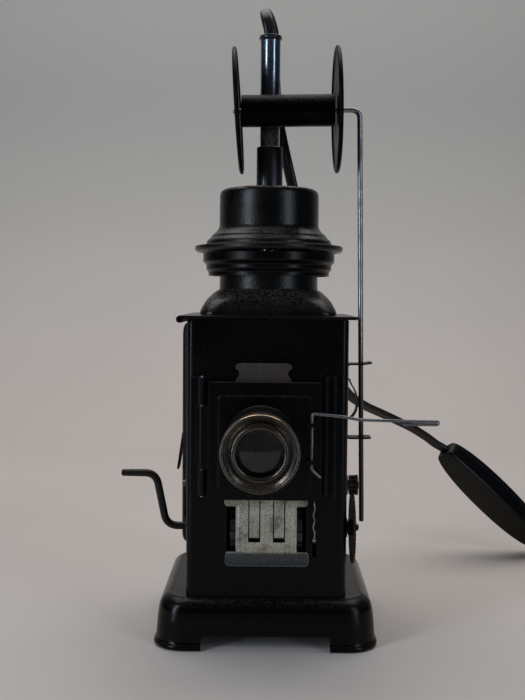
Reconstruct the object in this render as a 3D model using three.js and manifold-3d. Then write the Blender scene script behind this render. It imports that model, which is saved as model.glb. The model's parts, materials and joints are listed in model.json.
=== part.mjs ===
// A toy magic lantern for 35 mm film strips: a sheet-metal lamp house on a pressed plinth, with a chimney
// that carries the electric lamp, a hinged lens board, a hand-cranked film drive and a film reel on a wire
// arm. Millimetres, +Z up, the front of the lantern faces -Y.
import * as THREE from 'three';
import { mergeVertices } from 'three/addons/utils/BufferGeometryUtils.js';
import Module from 'manifold-3d';

const wasm = await Module();
wasm.setup();

// ---------------------------------------------------------------- driving dimensions
const GAP = 0.3; // clearance between pieces that touch
const SHEET = 0.9; // thickness of the body sheet
const THIN = 0.8; // thickness of the tin plate in the film gate

// plinth: half sizes at its top plane, and how far each level of the wall stands out from that
const PLINTH_HALF_W = 39.7;
const PLINTH_HALF_D = 37.0;
const PLINTH_TOP = 20.9;
const PLINTH_LEVELS = [
  [0, 7.3], [0.6, 8.1], [2.0, 8.1], [2.8, 7.2], [11.5, 6.6], [16.5, 5.9],
  [18.6, 5.1], [20.2, 3.6], [21.3, 1.4], [PLINTH_TOP, 0],
];
const FOOT_SPAN = 54; // width of the arched cut-out between two feet
const FOOT_HEIGHT = 6.3;

// lamp house
const HOUSE_W = 68;
const HOUSE_D = 74;
const HOUSE_BOTTOM = PLINTH_TOP + GAP;
const HOUSE_TOP = 138.3;
const HOUSE_CORNER = 3;
const FRONT = -HOUSE_D / 2;
const LEFT = -HOUSE_W / 2;
const RIGHT = HOUSE_W / 2;

// roof and chimney, all on the vertical axis x = 0, y = 0
const ROOF_HALF = 37.6;
const ROOF_HALF_D = 40;
const ROOF_Z = HOUSE_TOP + GAP;
const ROOF_T = 1.4;
const DOME_LEVELS = [ // height, half size, corner radius
  [140.3, 29.6, 7], [141.6, 29.4, 7.5], [144.0, 28.4, 9], [146.5, 27.0, 11],
  [149.0, 24.9, 14], [150.7, 23.1, 18], [151.4, 22.2, 22.2], [157.0, 22.2, 22.2], [164.0, 22.2, 22.2],
];
const SKIRT_BOTTOM = 157.4;
const BRIM_Z = 169.6;
const BRIM_R = 31.3;
const BEAD_R = 1.65;
const CROWN_R = 21.9;
const CROWN_TOP = 196.2;

// lamp on its tube
const TUBE_R = 4.4;
const TUBE_TOP = 262.5;
const TUBE_BOTTOM = 128;
const SLEEVE_R = 5.85;
const SLEEVE_TOP = 215.2;
const BUSH_TOP = 264.7;

// film drive
const SHAFT_Y = -24;
const SHAFT_Z = 48.3;
const SHAFT_R = 1.65;
const MODULE = 0.62;
const GEAR_TEETH = 48;
const PINION_TEETH = 12;
const PINION_Z = SHAFT_Z + MODULE * (GEAR_TEETH + PINION_TEETH) / 2;
const PINION_SHAFT_R = 1.4;
const CRANK_THROW = 23;
const DRUM_TEETH = 16;
const DRUM_R = 12;
const TOOTH_ROW = 14.1; // distance of each row of sprocket teeth from the middle of the film
const BEATER_OFFSET = 4;

// film gate and lens, on the front wall
const LENS_X = -2.5;
const LENS_Z = 88.8;
const FRAME_W = 24;
const FRAME_H = 18;
const BOARD_LEFT = -24.5;
const BOARD_RIGHT = 22.5;
const BOARD_BOTTOM = 63.6;
const BOARD_TOP = 112.9;
const BOARD_Y = FRONT - 5; // back face of the board
const BOARD_FRONT = BOARD_Y - 2;
const BOARD_HINGE_X = -27;
const BOARD_HINGE_Y = BOARD_Y + 0.6;
const CATCH_X = 20.1;
const LEVER_X = 18.4;
const LEVER_Y = BOARD_FRONT - 2.2;
const LEVER_R = 0.65;

// reel on its wire arm, which leans a little towards the chimney
const ARM_X = 42.9; // where the line of the rod would meet the floor
const ARM_Y = -16;
const ARM_LEAN = THREE.MathUtils.degToRad(1);
const ARM_R = 1.15;
const ARM_BOTTOM = 49;
const REEL_Z = 229.2;
const REEL_R = 27;
const CORE_R = 6.85;
const REEL_LEFT = -13.6;
const REEL_RIGHT = 29.5;
const FLANGE_TILT = THREE.MathUtils.degToRad(2.6); // the left flange sits crooked on its core
const CLIP_TOP = 119;
const CLIP_BOTTOM = 86.6;

// side door, hinged at its rear edge
const DOOR_Y = [-16, 30];
const DOOR_Z = [38, 136.4];
const DOOR_X = LEFT - GAP;
const DOOR_DEPTH = 3.3;
const DOOR_PIN_X = LEFT - 2.2;
const DOOR_PIN_Y = 32.3;

// flat twin lead
const CORD_D = 5.2;
const CORD_ROUTE = [ // from the lamp tube, over the back of the roof and down to the switch
  [0, 0, 265.2], [-0.6, 0.3, 269.6], [-1.7, 2, 274], [-2.4, 6.4, 277.2], [-2.1, 11.6, 277.2],
  [-0.9, 16.2, 274.2], [0.3, 19.4, 268.2], [0.9, 21.2, 260.6], [1.4, 21.6, 252], [2.2, 21.7, 243],
  [3.4, 22, 234], [5.2, 22.8, 224.6], [7.8, 24.6, 213.6], [10.6, 27.2, 202.6], [13.4, 30.4, 191],
  [15.8, 33.4, 180], [17.5, 36.4, 169], [19, 39.6, 157], [21.8, 43.2, 145.6], [26.4, 47, 133],
  [31.4, 52, 118.4], [36.4, 58.4, 105.6], [43.2, 66, 96.6], [51.8, 74.4, 90.5], [61, 82.8, 85.8],
  [70.4, 90.6, 81], [80.6, 98.2, 75.6], [89.6, 103.8, 69.9], [95.4, 106.4, 65.6], [100.4, 107.7, 62.6],
];
// switch on the lead, its lower end just off the floor
const SWITCH_TOP = new THREE.Vector3(101.2, 107.8, 61.9);
const SWITCH_END = new THREE.Vector3(156.9, 118, 8.8);
const SWITCH_W = 19;
const SWITCH_T = 14.4;
const SWITCH_NECK = 9; // width of each end, where the lead goes in
const SWITCH_ROLL = THREE.MathUtils.degToRad(-45); // turned about its own length
const ROCKER_LENGTH = 16.2;
const ROCKER_WIDTH = 8.2;
const FLOOR_ROUTE = [ // from the switch to the coil
  [157.5, 118.1, 8.2], [162, 118.3, 5], [166.8, 117.3, 3.3], [171.6, 115.3, 2.9],
  [176.2, 112.8, 2.9], [180.6, 110.2, 2.9],
];
const COIL = { x: 195, y: 72, radius: 29, width: 16, height: 10.8 };
const PLUG = { x: 230, y: 31, z: 7.4 };

// ---------------------------------------------------------------- finishes
const BLACK = { color: 0x121315, roughness: 0.42, metalness: 0.25 };
const WORN = { color: 0x1d1915, roughness: 0.5, metalness: 0.3 };
const TIN = { color: 0xaaa596, roughness: 0.45, metalness: 0.85 };
const NICKEL = { color: 0xb9b3a8, roughness: 0.25, metalness: 0.95 };
const STEEL = { color: 0x6f7073, roughness: 0.35, metalness: 0.9 };
const BRASS = { color: 0x5e4a2c, roughness: 0.5, metalness: 0.8 };
const GLASS = { color: 0x9fb0b4, roughness: 0.05, metalness: 0 };
const OPAL = { color: 0xe8e6dd, roughness: 0.3, metalness: 0 };
const PORCELAIN = { color: 0xd8d2c4, roughness: 0.35, metalness: 0 };
const PVC = { color: 0x26272a, roughness: 0.45, metalness: 0 };
const BAKELITE = { color: 0x17150f, roughness: 0.35, metalness: 0 };

// ---------------------------------------------------------------- solids
const lantern = new THREE.Group();
const cordSet = new THREE.Group();

function addPart(parent, name, geometry, finish) {
  const mesh = new THREE.Mesh(weld(geometry), new THREE.MeshStandardMaterial(finish));
  mesh.name = name;
  parent.add(mesh);
  return mesh;
}

function signedVolume(points, index) {
  const corner = [0, 1, 2].map(() => new THREE.Vector3());
  let six = 0;
  for (let i = 0; i < index.length; i += 3) {
    corner.forEach((v, k) => v.fromBufferAttribute(points, index[i + k]));
    six += corner[0].dot(corner[1].cross(corner[2]));
  }
  return six / 6;
}

// shared corners merged, collapsed triangles dropped, faces turned outwards
function weld(geometry) {
  const bare = geometry.clone();
  bare.deleteAttribute('normal');
  bare.deleteAttribute('uv');
  const merged = mergeVertices(bare, 1e-4);
  const source = merged.index.array;
  const index = [];
  for (let i = 0; i < source.length; i += 3) {
    const [a, b, c] = source.slice(i, i + 3);
    if (a !== b && b !== c && c !== a) index.push(a, b, c);
  }
  if (signedVolume(merged.attributes.position, index) < 0) index.reverse();
  merged.setIndex(index);
  return merged;
}

function toSolid(geometry) {
  const { attributes, index } = weld(geometry);
  const mesh = new wasm.Mesh({
    numProp: 3,
    vertProperties: new Float32Array(attributes.position.array),
    triVerts: new Uint32Array(index.array),
  });
  return new wasm.Manifold(mesh);
}

function fromSolid(solid) {
  const { vertProperties, triVerts } = solid.getMesh();
  const geometry = new THREE.BufferGeometry();
  geometry.setAttribute('position', new THREE.BufferAttribute(vertProperties, 3));
  geometry.setIndex(new THREE.BufferAttribute(triVerts, 1));
  return geometry;
}

function cut(body, ...tools) {
  return fromSolid(tools.reduce((solid, tool) => solid.subtract(toSolid(tool)), toSolid(body)));
}

function join(body, ...others) {
  return fromSolid(others.reduce((solid, other) => solid.add(toSolid(other)), toSolid(body)));
}

// box between two opposite corners
function block(x0, x1, y0, y1, z0, z1) {
  const box = new THREE.BoxGeometry(x1 - x0, y1 - y0, z1 - z0);
  return box.translate((x0 + x1) / 2, (y0 + y1) / 2, (z0 + z1) / 2);
}

// cylinder from z0 to z1 on the local Z axis
function disc(radius, z0, z1, sides = 14) {
  const cylinder = new THREE.CylinderGeometry(radius, radius, z1 - z0, sides);
  return cylinder.rotateX(Math.PI / 2).translate(0, 0, (z0 + z1) / 2);
}

// cylinder along X through the point (y, z)
function crossPin(radius, x0, x1, y, z, sides = 14) {
  return disc(radius, x0, x1, sides).rotateY(Math.PI / 2).translate(0, y, z);
}

// cylinder along Y through the point (x, z)
function frontHole(radius, x, z, sides = 22) {
  return disc(radius, -30, 30, sides).rotateX(Math.PI / 2).translate(x, FRONT, z);
}

// turned piece: the profile is a list of [radius, height]
function turned(profile, sides = 20) {
  const points = profile.map(([r, z]) => new THREE.Vector2(r, z));
  return new THREE.LatheGeometry(points, sides).rotateX(Math.PI / 2);
}

// turned tube: a profile that closes on itself
function turnedRing(profile, sides = 20) {
  return turned([...profile, profile[0]], sides);
}

// spun sheet: the outer profile, and the same profile moved in by the sheet thickness
function spun(outer, inner, sides = 24) {
  return turnedRing([...outer, ...inner.reverse()], sides);
}

function roundedRect(halfW, halfH, radius) {
  const shape = new THREE.Shape();
  const r = Math.min(radius, halfW, halfH);
  shape.moveTo(halfW - r, -halfH);
  shape.absarc(halfW - r, -halfH + r, r, -Math.PI / 2, 0);
  shape.absarc(halfW - r, halfH - r, r, 0, Math.PI / 2);
  shape.absarc(-halfW + r, halfH - r, r, Math.PI / 2, Math.PI);
  shape.absarc(-halfW + r, -halfH + r, r, Math.PI, Math.PI * 1.5);
  return shape;
}

// plate of a given outline, lying in XZ, from y0 back to y1
function frontPlate(shape, y0, y1, curveSegments = 4) {
  const settings = { depth: y1 - y0, bevelEnabled: false, curveSegments };
  return new THREE.ExtrudeGeometry(shape, settings).rotateX(Math.PI / 2).translate(0, y1, 0);
}

// upright prism of a given outline, lying in XY
function upright(shape, z0, z1, curveSegments = 4) {
  const settings = { depth: z1 - z0, bevelEnabled: false, curveSegments };
  return new THREE.ExtrudeGeometry(shape, settings).translate(0, 0, z0);
}

// ring of points round a rounded rectangle at one height, always the same number of them
function rectLoop(halfW, halfD, radius, z, perCorner = 4) {
  const loop = [];
  const r = Math.min(radius, halfW - 1e-3, halfD - 1e-3);
  const centres = [[1, -1], [1, 1], [-1, 1], [-1, -1]];
  centres.forEach(([sx, sy], quarter) => {
    for (let i = 0; i <= perCorner; i += 1) {
      const angle = (quarter - 1 + i / perCorner) * Math.PI / 2;
      const x = sx * (halfW - r) + r * Math.cos(angle);
      const y = sy * (halfD - r) + r * Math.sin(angle);
      loop.push(new THREE.Vector3(x, y, z));
    }
  });
  return loop;
}

// skin through a stack of loops with a flat cap at each end
function loft(loops) {
  const n = loops[0].length;
  const points = loops.flat();
  const index = [];
  for (let k = 0; k + 1 < loops.length; k += 1) {
    for (let i = 0; i < n; i += 1) {
      const a = k * n + i;
      const b = k * n + (i + 1) % n;
      index.push(a, b, b + n, a, b + n, a + n);
    }
  }
  const top = (loops.length - 1) * n;
  for (let i = 1; i + 1 < n; i += 1) {
    index.push(0, i + 1, i, top, top + i, top + i + 1);
  }
  const geometry = new THREE.BufferGeometry().setFromPoints(points);
  geometry.setIndex(index);
  return geometry;
}

// wire bent at its corners: each corner is replaced by a short curve
class BentPath extends THREE.Curve {
  constructor(corners, bend, perBend = 5) {
    super();
    const points = corners.map((corner) => new THREE.Vector3(...corner));
    this.stops = [points[0]];
    for (let i = 1; i + 1 < points.length; i += 1) {
      const before = points[i - 1].clone().sub(points[i]);
      const after = points[i + 1].clone().sub(points[i]);
      const start = points[i].clone().addScaledVector(before.normalize(), bend);
      const end = points[i].clone().addScaledVector(after.normalize(), bend);
      this.stops.push(...new THREE.QuadraticBezierCurve3(start, points[i], end).getPoints(perBend));
    }
    this.stops.push(points.at(-1));
    this.spans = this.stops.length - 1;
  }

  getPointAt(u) {
    return this.stops[Math.round(u * this.spans)].clone();
  }

  getTangentAt(u) {
    const i = Math.round(u * this.spans);
    const ahead = this.stops[Math.min(i + 1, this.spans)];
    const behind = this.stops[Math.max(i - 1, 0)];
    return ahead.clone().sub(behind).normalize();
  }
}

function polygon(radius, sides, turn = 0) {
  const points = [];
  for (let i = 0; i < sides; i += 1) {
    const angle = turn + i / sides * Math.PI * 2;
    points.push(new THREE.Vector2(radius * Math.cos(angle), radius * Math.sin(angle)));
  }
  return new THREE.Shape(points);
}

function wire(corners, radius, bend, sides = 10) {
  const path = new BentPath(corners, bend);
  const settings = { steps: path.spans, extrudePath: path, bevelEnabled: false };
  return new THREE.ExtrudeGeometry(polygon(radius, sides), settings);
}

function cordTube(route, steps) {
  const path = new THREE.CatmullRomCurve3(route.map((point) => new THREE.Vector3(...point)));
  const settings = { steps, extrudePath: path, bevelEnabled: false };
  return new THREE.ExtrudeGeometry(polygon(CORD_D / 2, 8), settings);
}

// strip bent along a line in XZ and as wide in Y as from y0 to y1
function strip(line, thickness, y0, y1) {
  const points = line.map(([x, z]) => new THREE.Vector2(x, z));
  const side = (sign) => points.map((point, i) => {
    const ahead = points[Math.min(i + 1, points.length - 1)];
    const behind = points[Math.max(i - 1, 0)];
    const along = ahead.clone().sub(behind).normalize();
    return new THREE.Vector2(point.x - sign * along.y * thickness / 2, point.y + sign * along.x * thickness / 2);
  });
  return frontPlate(new THREE.Shape([...side(1), ...side(-1).reverse()]), y0, y1);
}

// outline of a toothed wheel
function toothedShape(teeth, root, tip, tipHalf, rootHalf, turn) {
  const points = [];
  const pitch = Math.PI * 2 / teeth;
  for (let i = 0; i < teeth; i += 1) {
    const middle = turn + i * pitch;
    [[root, -rootHalf], [tip, -tipHalf], [tip, tipHalf], [root, rootHalf]].forEach(([r, half]) => {
      const angle = middle + half * pitch;
      points.push(new THREE.Vector2(r * Math.cos(angle), r * Math.sin(angle)));
    });
  }
  return new THREE.Shape(points);
}

function toothedWheel(shape, z0, z1, bore) {
  shape.holes.push(polygon(bore, 14));
  return upright(shape, z0, z1);
}

function groupAt(parent, x, y, z) {
  const group = new THREE.Group();
  group.position.set(x, y, z);
  parent.add(group);
  return group;
}

// ---------------------------------------------------------------- plinth and lamp house
function plinth() {
  const corner = 9;
  const level = (z, out) => rectLoop(PLINTH_HALF_W + out, PLINTH_HALF_D + out, corner + out / 2, z);
  const outer = loft(PLINTH_LEVELS.map(([z, out]) => level(z, out)));
  const inner = loft([
    level(-1, 6.1), level(11.5, 5.6), level(16.5, 4.9), level(18.3, 4.1), level(19.6, 2.6),
    level(PLINTH_TOP - SHEET, 0.6),
  ]);
  const arch = roundedRect(FOOT_SPAN / 2, FOOT_HEIGHT, 1.5);
  const reach = 60;
  const frontArch = frontPlate(arch, -reach, reach);
  const sideArch = frontArch.clone().rotateZ(Math.PI / 2);
  const airway = upright(roundedRect(20, 20, 6), 10, 30);
  return cut(outer, inner, frontArch, sideArch, airway);
}

function houseShell() {
  const walls = roundedRect(HOUSE_W / 2, HOUSE_D / 2, HOUSE_CORNER);
  walls.holes.push(roundedRect(HOUSE_W / 2 - SHEET, HOUSE_D / 2 - SHEET, HOUSE_CORNER - SHEET));
  const shell = upright(walls, HOUSE_BOTTOM, HOUSE_TOP);
  const window = block(-FRAME_W / 2, FRAME_W / 2, FRONT - 5, FRONT + 5, LENS_Z - FRAME_H / 2, LENS_Z + FRAME_H / 2);
  const drumSlot = block(-16.8, 16.8, FRONT - 5, FRONT + 5, 36.6, 61.2);
  const doorway = block(LEFT - 5, LEFT + 5, DOOR_Y[0] + 6, DOOR_Y[1] - 6, DOOR_Z[0] + 8, DOOR_Z[1] - 6);
  const shaftHoles = [SHAFT_Z, PINION_Z].map((z) => crossPin(3.3, -50, 50, SHAFT_Y, z));
  const seam = block(-1.6, 1.6, HOUSE_D / 2 - 0.2, HOUSE_D / 2 + 0.8, HOUSE_BOTTOM, HOUSE_TOP);
  return join(cut(shell, window, drumSlot, doorway, ...shaftHoles), seam);
}

function houseFloor() {
  const halfW = HOUSE_W / 2 - SHEET - GAP;
  const halfD = HOUSE_D / 2 - SHEET - GAP;
  const plate = upright(roundedRect(halfW, halfD, 1.5), HOUSE_BOTTOM + 0.1, HOUSE_BOTTOM + 1);
  const holes = [];
  for (const x of [-12, 0, 12]) {
    for (const y of [-12, 0, 12]) holes.push(disc(3.5, 15, 30, 8).translate(x, y, 0));
  }
  return cut(plate, ...holes);
}

addPart(lantern, 'base_plinth', plinth(), BLACK);
addPart(lantern, 'lamp_house_shell', houseShell(), BLACK);
addPart(lantern, 'lamp_house_floor', houseFloor(), BLACK);

// ---------------------------------------------------------------- side door
// shallow pan with a flap pressed out of it, and one long knuckle at its rear edge
function sideDoor() {
  const midY = (DOOR_Y[0] + DOOR_Y[1]) / 2;
  const midZ = (DOOR_Z[0] + DOOR_Z[1]) / 2;
  const halfY = (DOOR_Y[1] - DOOR_Y[0]) / 2;
  const halfZ = (DOOR_Z[1] - DOOR_Z[0]) / 2;
  const level = (out, inset) => rectLoop(halfY - inset, halfZ - inset, 6 - inset, out);
  const pan = loft([level(0, 0), level(1.8, 0), level(2.8, 0.8), level(DOOR_DEPTH, 2.4)]);
  const hollow = loft([level(-1, SHEET), level(1.6, SHEET), level(DOOR_DEPTH - SHEET, 3.2)]);
  // the loops' X runs along +Y, their Y along +Z and their height along -X
  const stand = new THREE.Matrix4().makeBasis(
    new THREE.Vector3(0, 1, 0), new THREE.Vector3(0, 0, 1), new THREE.Vector3(-1, 0, 0),
  );
  const place = (geometry) => geometry.applyMatrix4(stand).translate(DOOR_X, midY, midZ);
  const slot = block(-45, DOOR_X - 1.5, -13, -5, 72, 80);
  const flap = new THREE.BoxGeometry(0.8, 9.4, 17).rotateY(THREE.MathUtils.degToRad(8));
  flap.translate(-38.5, -9, 79.4);
  const knuckle = upright(polygon(1.6, 16), 60, 115).translate(DOOR_PIN_X, DOOR_PIN_Y, 0);
  const leaf = block(DOOR_PIN_X - 0.5, DOOR_PIN_X + 0.4, DOOR_Y[1] - 0.5, DOOR_PIN_Y, 60, 115);
  const bore = disc(1.1, 50, 125, 16).translate(DOOR_PIN_X, DOOR_PIN_Y, 0);
  return cut(join(cut(place(pan), place(hollow), slot), flap, leaf, knuckle), bore);
}

function doorHinge() {
  const leaf = block(LEFT - GAP - 0.7, LEFT - GAP, DOOR_PIN_Y + 0.5, DOOR_PIN_Y + 3.9, 50, 125);
  const ends = [[50, 59.7], [115.3, 125]];
  const knuckles = ends.map(([z0, z1]) => disc(1.6, z0, z1, 16).translate(DOOR_PIN_X, DOOR_PIN_Y, 0));
  const bore = disc(1.1, 45, 130, 16).translate(DOOR_PIN_X, DOOR_PIN_Y, 0);
  const clear = block(DOOR_PIN_X - 2.2, DOOR_PIN_X + 2.2, DOOR_PIN_Y - 2, DOOR_PIN_Y + 2, 59.7, 115.3);
  return cut(join(leaf, ...knuckles), bore, clear);
}

addPart(lantern, 'side_door', sideDoor(), BLACK);
addPart(lantern, 'door_hinge', doorHinge(), BLACK);
addPart(lantern, 'door_hinge_pin', disc(0.8, 49.5, 125.5, 12).translate(DOOR_PIN_X, DOOR_PIN_Y, 0), STEEL);

// ---------------------------------------------------------------- roof and chimney
function roofPlate() {
  const plate = upright(roundedRect(ROOF_HALF, ROOF_HALF_D, 1.5), ROOF_Z, ROOF_Z + ROOF_T);
  const beadR = 1.5; // rolled edge, a little below the flat top
  const bead = disc(beadR, -ROOF_HALF_D, ROOF_HALF_D, 14).rotateX(Math.PI / 2);
  bead.translate(-ROOF_HALF + 0.9, 0, ROOF_Z + ROOF_T - beadR - 0.1);
  return cut(join(plate, bead), disc(20, 130, 150, 24));
}

function dome() {
  const inset = (t) => DOME_LEVELS.map(([z, half, r]) => rectLoop(half - t, half - t, Math.max(r - t, 1), z));
  const inner = inset(SHEET);
  inner[0].forEach((point) => point.setZ(point.z - 1));
  inner.at(-1).forEach((point) => point.setZ(point.z + 1));
  return cut(loft(inset(0)), loft(inner));
}

function skirt() {
  const steps = [[26.9, 0], [26.9, 1.9], [27.9, 2.6], [27.9, 5.1], [29.3, 6.0], [29.3, 9.9]];
  const outer = steps.map(([r, rise]) => [r, SKIRT_BOTTOM + rise]);
  const inner = outer.map(([r, z]) => [r - SHEET, z]);
  const tabs = [0, 1, 2].map((k) => {
    return block(22.6, 28, -3, 3, 162, 163).rotateZ(k * Math.PI * 2 / 3);
  });
  return join(spun(outer, inner), ...tabs);
}

function crown() {
  const bead = [];
  for (let i = 0; i <= 5; i += 1) {
    const angle = Math.PI * (1.25 - i / 5 * 1.5) + Math.PI;
    bead.push([BRIM_R + BEAD_R * Math.cos(angle), BRIM_Z + BEAD_R * Math.sin(angle)]);
  }
  const outer = [
    [27.9, 171.5], [27.8, 173.1], [25.4, 173.9], [25.2, 175.3], [24.1, 176.0], [24.0, 177.5],
    [CROWN_R, 178.8], [CROWN_R, 193.8], [CROWN_R - 0.7, 195.4], [CROWN_R - 2.2, CROWN_TOP],
    [SLEEVE_R + GAP, CROWN_TOP],
  ];
  const inner = [
    [SLEEVE_R + GAP, CROWN_TOP - SHEET], [CROWN_R - 2.4, CROWN_TOP - SHEET], [CROWN_R - SHEET, 193.4],
    [CROWN_R - SHEET, 178.4], [23.0, 176.4], [26.8, 172.2], [27.0, 170.6], [29.6, 168.4],
  ];
  return turnedRing([...bead, ...outer, ...inner], 24);
}

addPart(lantern, 'roof_plate', roofPlate(), BLACK);
addPart(lantern, 'chimney_dome', dome(), WORN);
addPart(lantern, 'chimney_skirt', skirt(), BLACK);
addPart(lantern, 'chimney_crown', crown(), WORN);

// ---------------------------------------------------------------- lamp
function tubeOf(outer, inner, z0, z1, sides = 18) {
  return turnedRing([[inner, z0], [outer, z0], [outer, z1], [inner, z1]], sides);
}

const socketProfile = [
  [0, 114], [7.2, 114], [7.2, 101], [9, 101], [9.6, 102.5], [9.6, 112], [8.6, 115], [8.6, 125],
  [6.5, TUBE_BOTTOM - GAP], [0, TUBE_BOTTOM - GAP],
];
const capProfile = [[0, 99.3], [6.3, 99.3], [6.8, 100.5], [6.8, 111.5], [4, 113.5], [0, 113.5]];
const bulbProfile = [
  [0, 69], [5, 70], [8.8, 72.6], [10.8, 76.6], [11, 80.5], [10, 86], [7.6, 92], [6.2, 96], [6, 99], [0, 99],
];
const bushProfile = [
  [2.9, 258], [3.1, 258], [3.1, TUBE_TOP + GAP], [4.8, TUBE_TOP + GAP], [5.15, 263.4],
  [4.9, BUSH_TOP - 0.2], [4.3, BUSH_TOP], [2.9, BUSH_TOP],
];

addPart(lantern, 'lamp_sleeve', tubeOf(SLEEVE_R, TUBE_R + GAP, 190, SLEEVE_TOP), BLACK);
addPart(lantern, 'lamp_tube', tubeOf(TUBE_R, 3.4, TUBE_BOTTOM, TUBE_TOP), BLACK);
addPart(lantern, 'tube_bush', turnedRing(bushProfile, 16), BLACK);
addPart(lantern, 'lamp_socket', turned(socketProfile, 18), PORCELAIN);
addPart(lantern, 'bulb_cap', turned(capProfile, 18), NICKEL);
addPart(lantern, 'bulb_glass', turned(bulbProfile, 18), OPAL);

// ---------------------------------------------------------------- condenser
const CONDENSER_Y = -15;
const condenser = groupAt(lantern, 0, CONDENSER_Y, LENS_Z);
condenser.rotation.x = Math.PI / 2; // local Z points to the front

function condenserPlate() {
  const plate = block(-32.6, 32.6, CONDENSER_Y, CONDENSER_Y + SHEET, 61, 137.8);
  return cut(plate, frontHole(13, 0, LENS_Z));
}

const condenserLens = [[0, 1.4], [14, 1.4], [14, 2.6], [11, 4.6], [7, 6.2], [3, 6.9], [0, 7]];

addPart(lantern, 'condenser_plate', condenserPlate(), BLACK);
addPart(condenser, 'condenser_ring', tubeOf(16, 14.3, GAP, 4, 24), NICKEL);
addPart(condenser, 'condenser_lens', turned(condenserLens), GLASS);

// ---------------------------------------------------------------- film gate on the front wall
function slotShape(x0, x1, z0, z1, radius) {
  const shape = roundedRect((x1 - x0) / 2, (z1 - z0) / 2, radius);
  const moved = shape.getPoints(4).map((p) => new THREE.Vector2(p.x + (x0 + x1) / 2, p.y + (z0 + z1) / 2));
  return new THREE.Shape(moved);
}

function slotCutter(x0, x1, z0, z1, radius) {
  return frontPlate(slotShape(x0, x1, z0, z1, radius), FRONT - 10, FRONT + 10);
}

const filmWindow = () => slotCutter(-FRAME_W / 2, FRAME_W / 2, LENS_Z - FRAME_H / 2, LENS_Z + FRAME_H / 2, 0.8);

function gateFrame() {
  const outline = slotShape(-25.5, 23.4, 63.9, 116, 1);
  return cut(frontPlate(outline, FRONT - GAP - THIN, FRONT - GAP), filmWindow());
}

// the film track: a wide strip behind the board with a flared lip standing above it
function filmTrack() {
  const y1 = FRONT - 2 * GAP - THIN;
  const lip = new THREE.Shape([
    [-17, 66], [17, 66], [17, 109], [10.2, 110.6], [10.2, 112.8], [8.6, 114.6], [7.4, 115.6], [7.4, 117.2],
    [10.2, 118.6], [10.2, 119.4], [8.8, 120.4], [-12, 120.4], [-13.4, 119.4], [-13.4, 118.6], [-10.6, 117.2],
    [-10.6, 115.6], [-11.8, 114.6], [-13.4, 112.8], [-13.4, 110.6], [-17, 109],
  ].map(([x, z]) => new THREE.Vector2(x, z)));
  return cut(frontPlate(lip, y1 - THIN, y1), filmWindow());
}

// the shoe that holds the film on the drum: bowed in front of it, with two sprung tongues
function filmShoe() {
  const y = FRONT - GAP - THIN / 2;
  const bow = [[y, 63.4], [y, 60.4], [y - 0.5, 57.5], [y - 1.1, 53], [y - 1.2, 49], [y - 0.9, 44.5], [y, 40.6]];
  const curl = [[y - 0.2, 38.4], [y - 1, 36.4], [y - 2.4, 35.2]];
  const sheet = strip([...bow, ...curl], THIN, -19, 19).rotateZ(Math.PI / 2);
  const outline = new THREE.Shape([
    [-17.7, 64], [17.4, 64], [17.4, 61], [16.4, 60], [12.8, 60], [12.8, 40.6], [17.4, 40.6], [18, 39.4],
    [18, 36], [16.6, 34], [-15.9, 34], [-17.3, 36], [-17.3, 39.4], [-16.7, 40.6], [-12.8, 40.6],
    [-12.8, 60], [-16.7, 60], [-17.7, 61],
  ].map(([x, z]) => new THREE.Vector2(x, z)));
  const blank = frontPlate(outline, FRONT - 6, FRONT);
  const clipped = fromSolid(toSolid(sheet).intersect(toSolid(blank)));
  const slits = [-7.3, 3.1].flatMap((x) => [
    slotCutter(x - 0.35, x + 0.35, 44.6, 60.6, 0.2),
    slotCutter(x + 4.25, x + 4.95, 44.6, 60.6, 0.2),
    slotCutter(x - 0.2, x + 4.8, 44.6, 47.2, 0.8),
  ]);
  return cut(clipped, ...slits);
}

function hingeRail() {
  const leaf = block(-32, -28.2, FRONT - GAP - THIN, FRONT - GAP, 65, 114.6);
  const web = block(-28.6, BOARD_HINGE_X, FRONT - GAP - THIN, BOARD_HINGE_Y, 65, 114.6);
  const knuckle = disc(1.35, 65, 114.6, 14).translate(BOARD_HINGE_X, BOARD_HINGE_Y, 0);
  const bore = disc(0.95, 60, 120, 14).translate(BOARD_HINGE_X, BOARD_HINGE_Y, 0);
  const clear = block(-29.4, -20, BOARD_HINGE_Y - 4, FRONT - GAP - 0.5, 76, 103);
  return cut(join(leaf, web, knuckle), bore, clear);
}

function catchRail() {
  const y1 = FRONT - GAP;
  const base = block(24.2, 28.6, y1 - THIN, y1, 65, 115);
  const walls = [[24.2, 25.2], [27.6, 28.6]].map(([x0, x1]) => block(x0, x1, y1 - 4.4, y1, 65, 115));
  return join(base, ...walls);
}

const catchProfile = [
  [0, 38.4], [1.1, 38.4], [1.2, 44.4], [0.6, 45], [0.9, 46.4], [0.6, 47.6], [0.6, 63.4], [0, 63.4],
];

addPart(lantern, 'gate_frame', gateFrame(), BLACK);
addPart(lantern, 'film_track', filmTrack(), TIN);
addPart(lantern, 'film_shoe', filmShoe(), TIN);
addPart(lantern, 'board_hinge_rail', hingeRail(), BLACK);
addPart(lantern, 'board_catch_rail', catchRail(), BLACK);
addPart(lantern, 'shoe_catch_pin', turned(catchProfile, 10).translate(CATCH_X, FRONT - GAP - 1.2, 0), STEEL);
addPart(lantern, 'board_hinge_pin', disc(0.65, 64.5, 115.1, 10).translate(BOARD_HINGE_X, BOARD_HINGE_Y, 0), STEEL);

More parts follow.
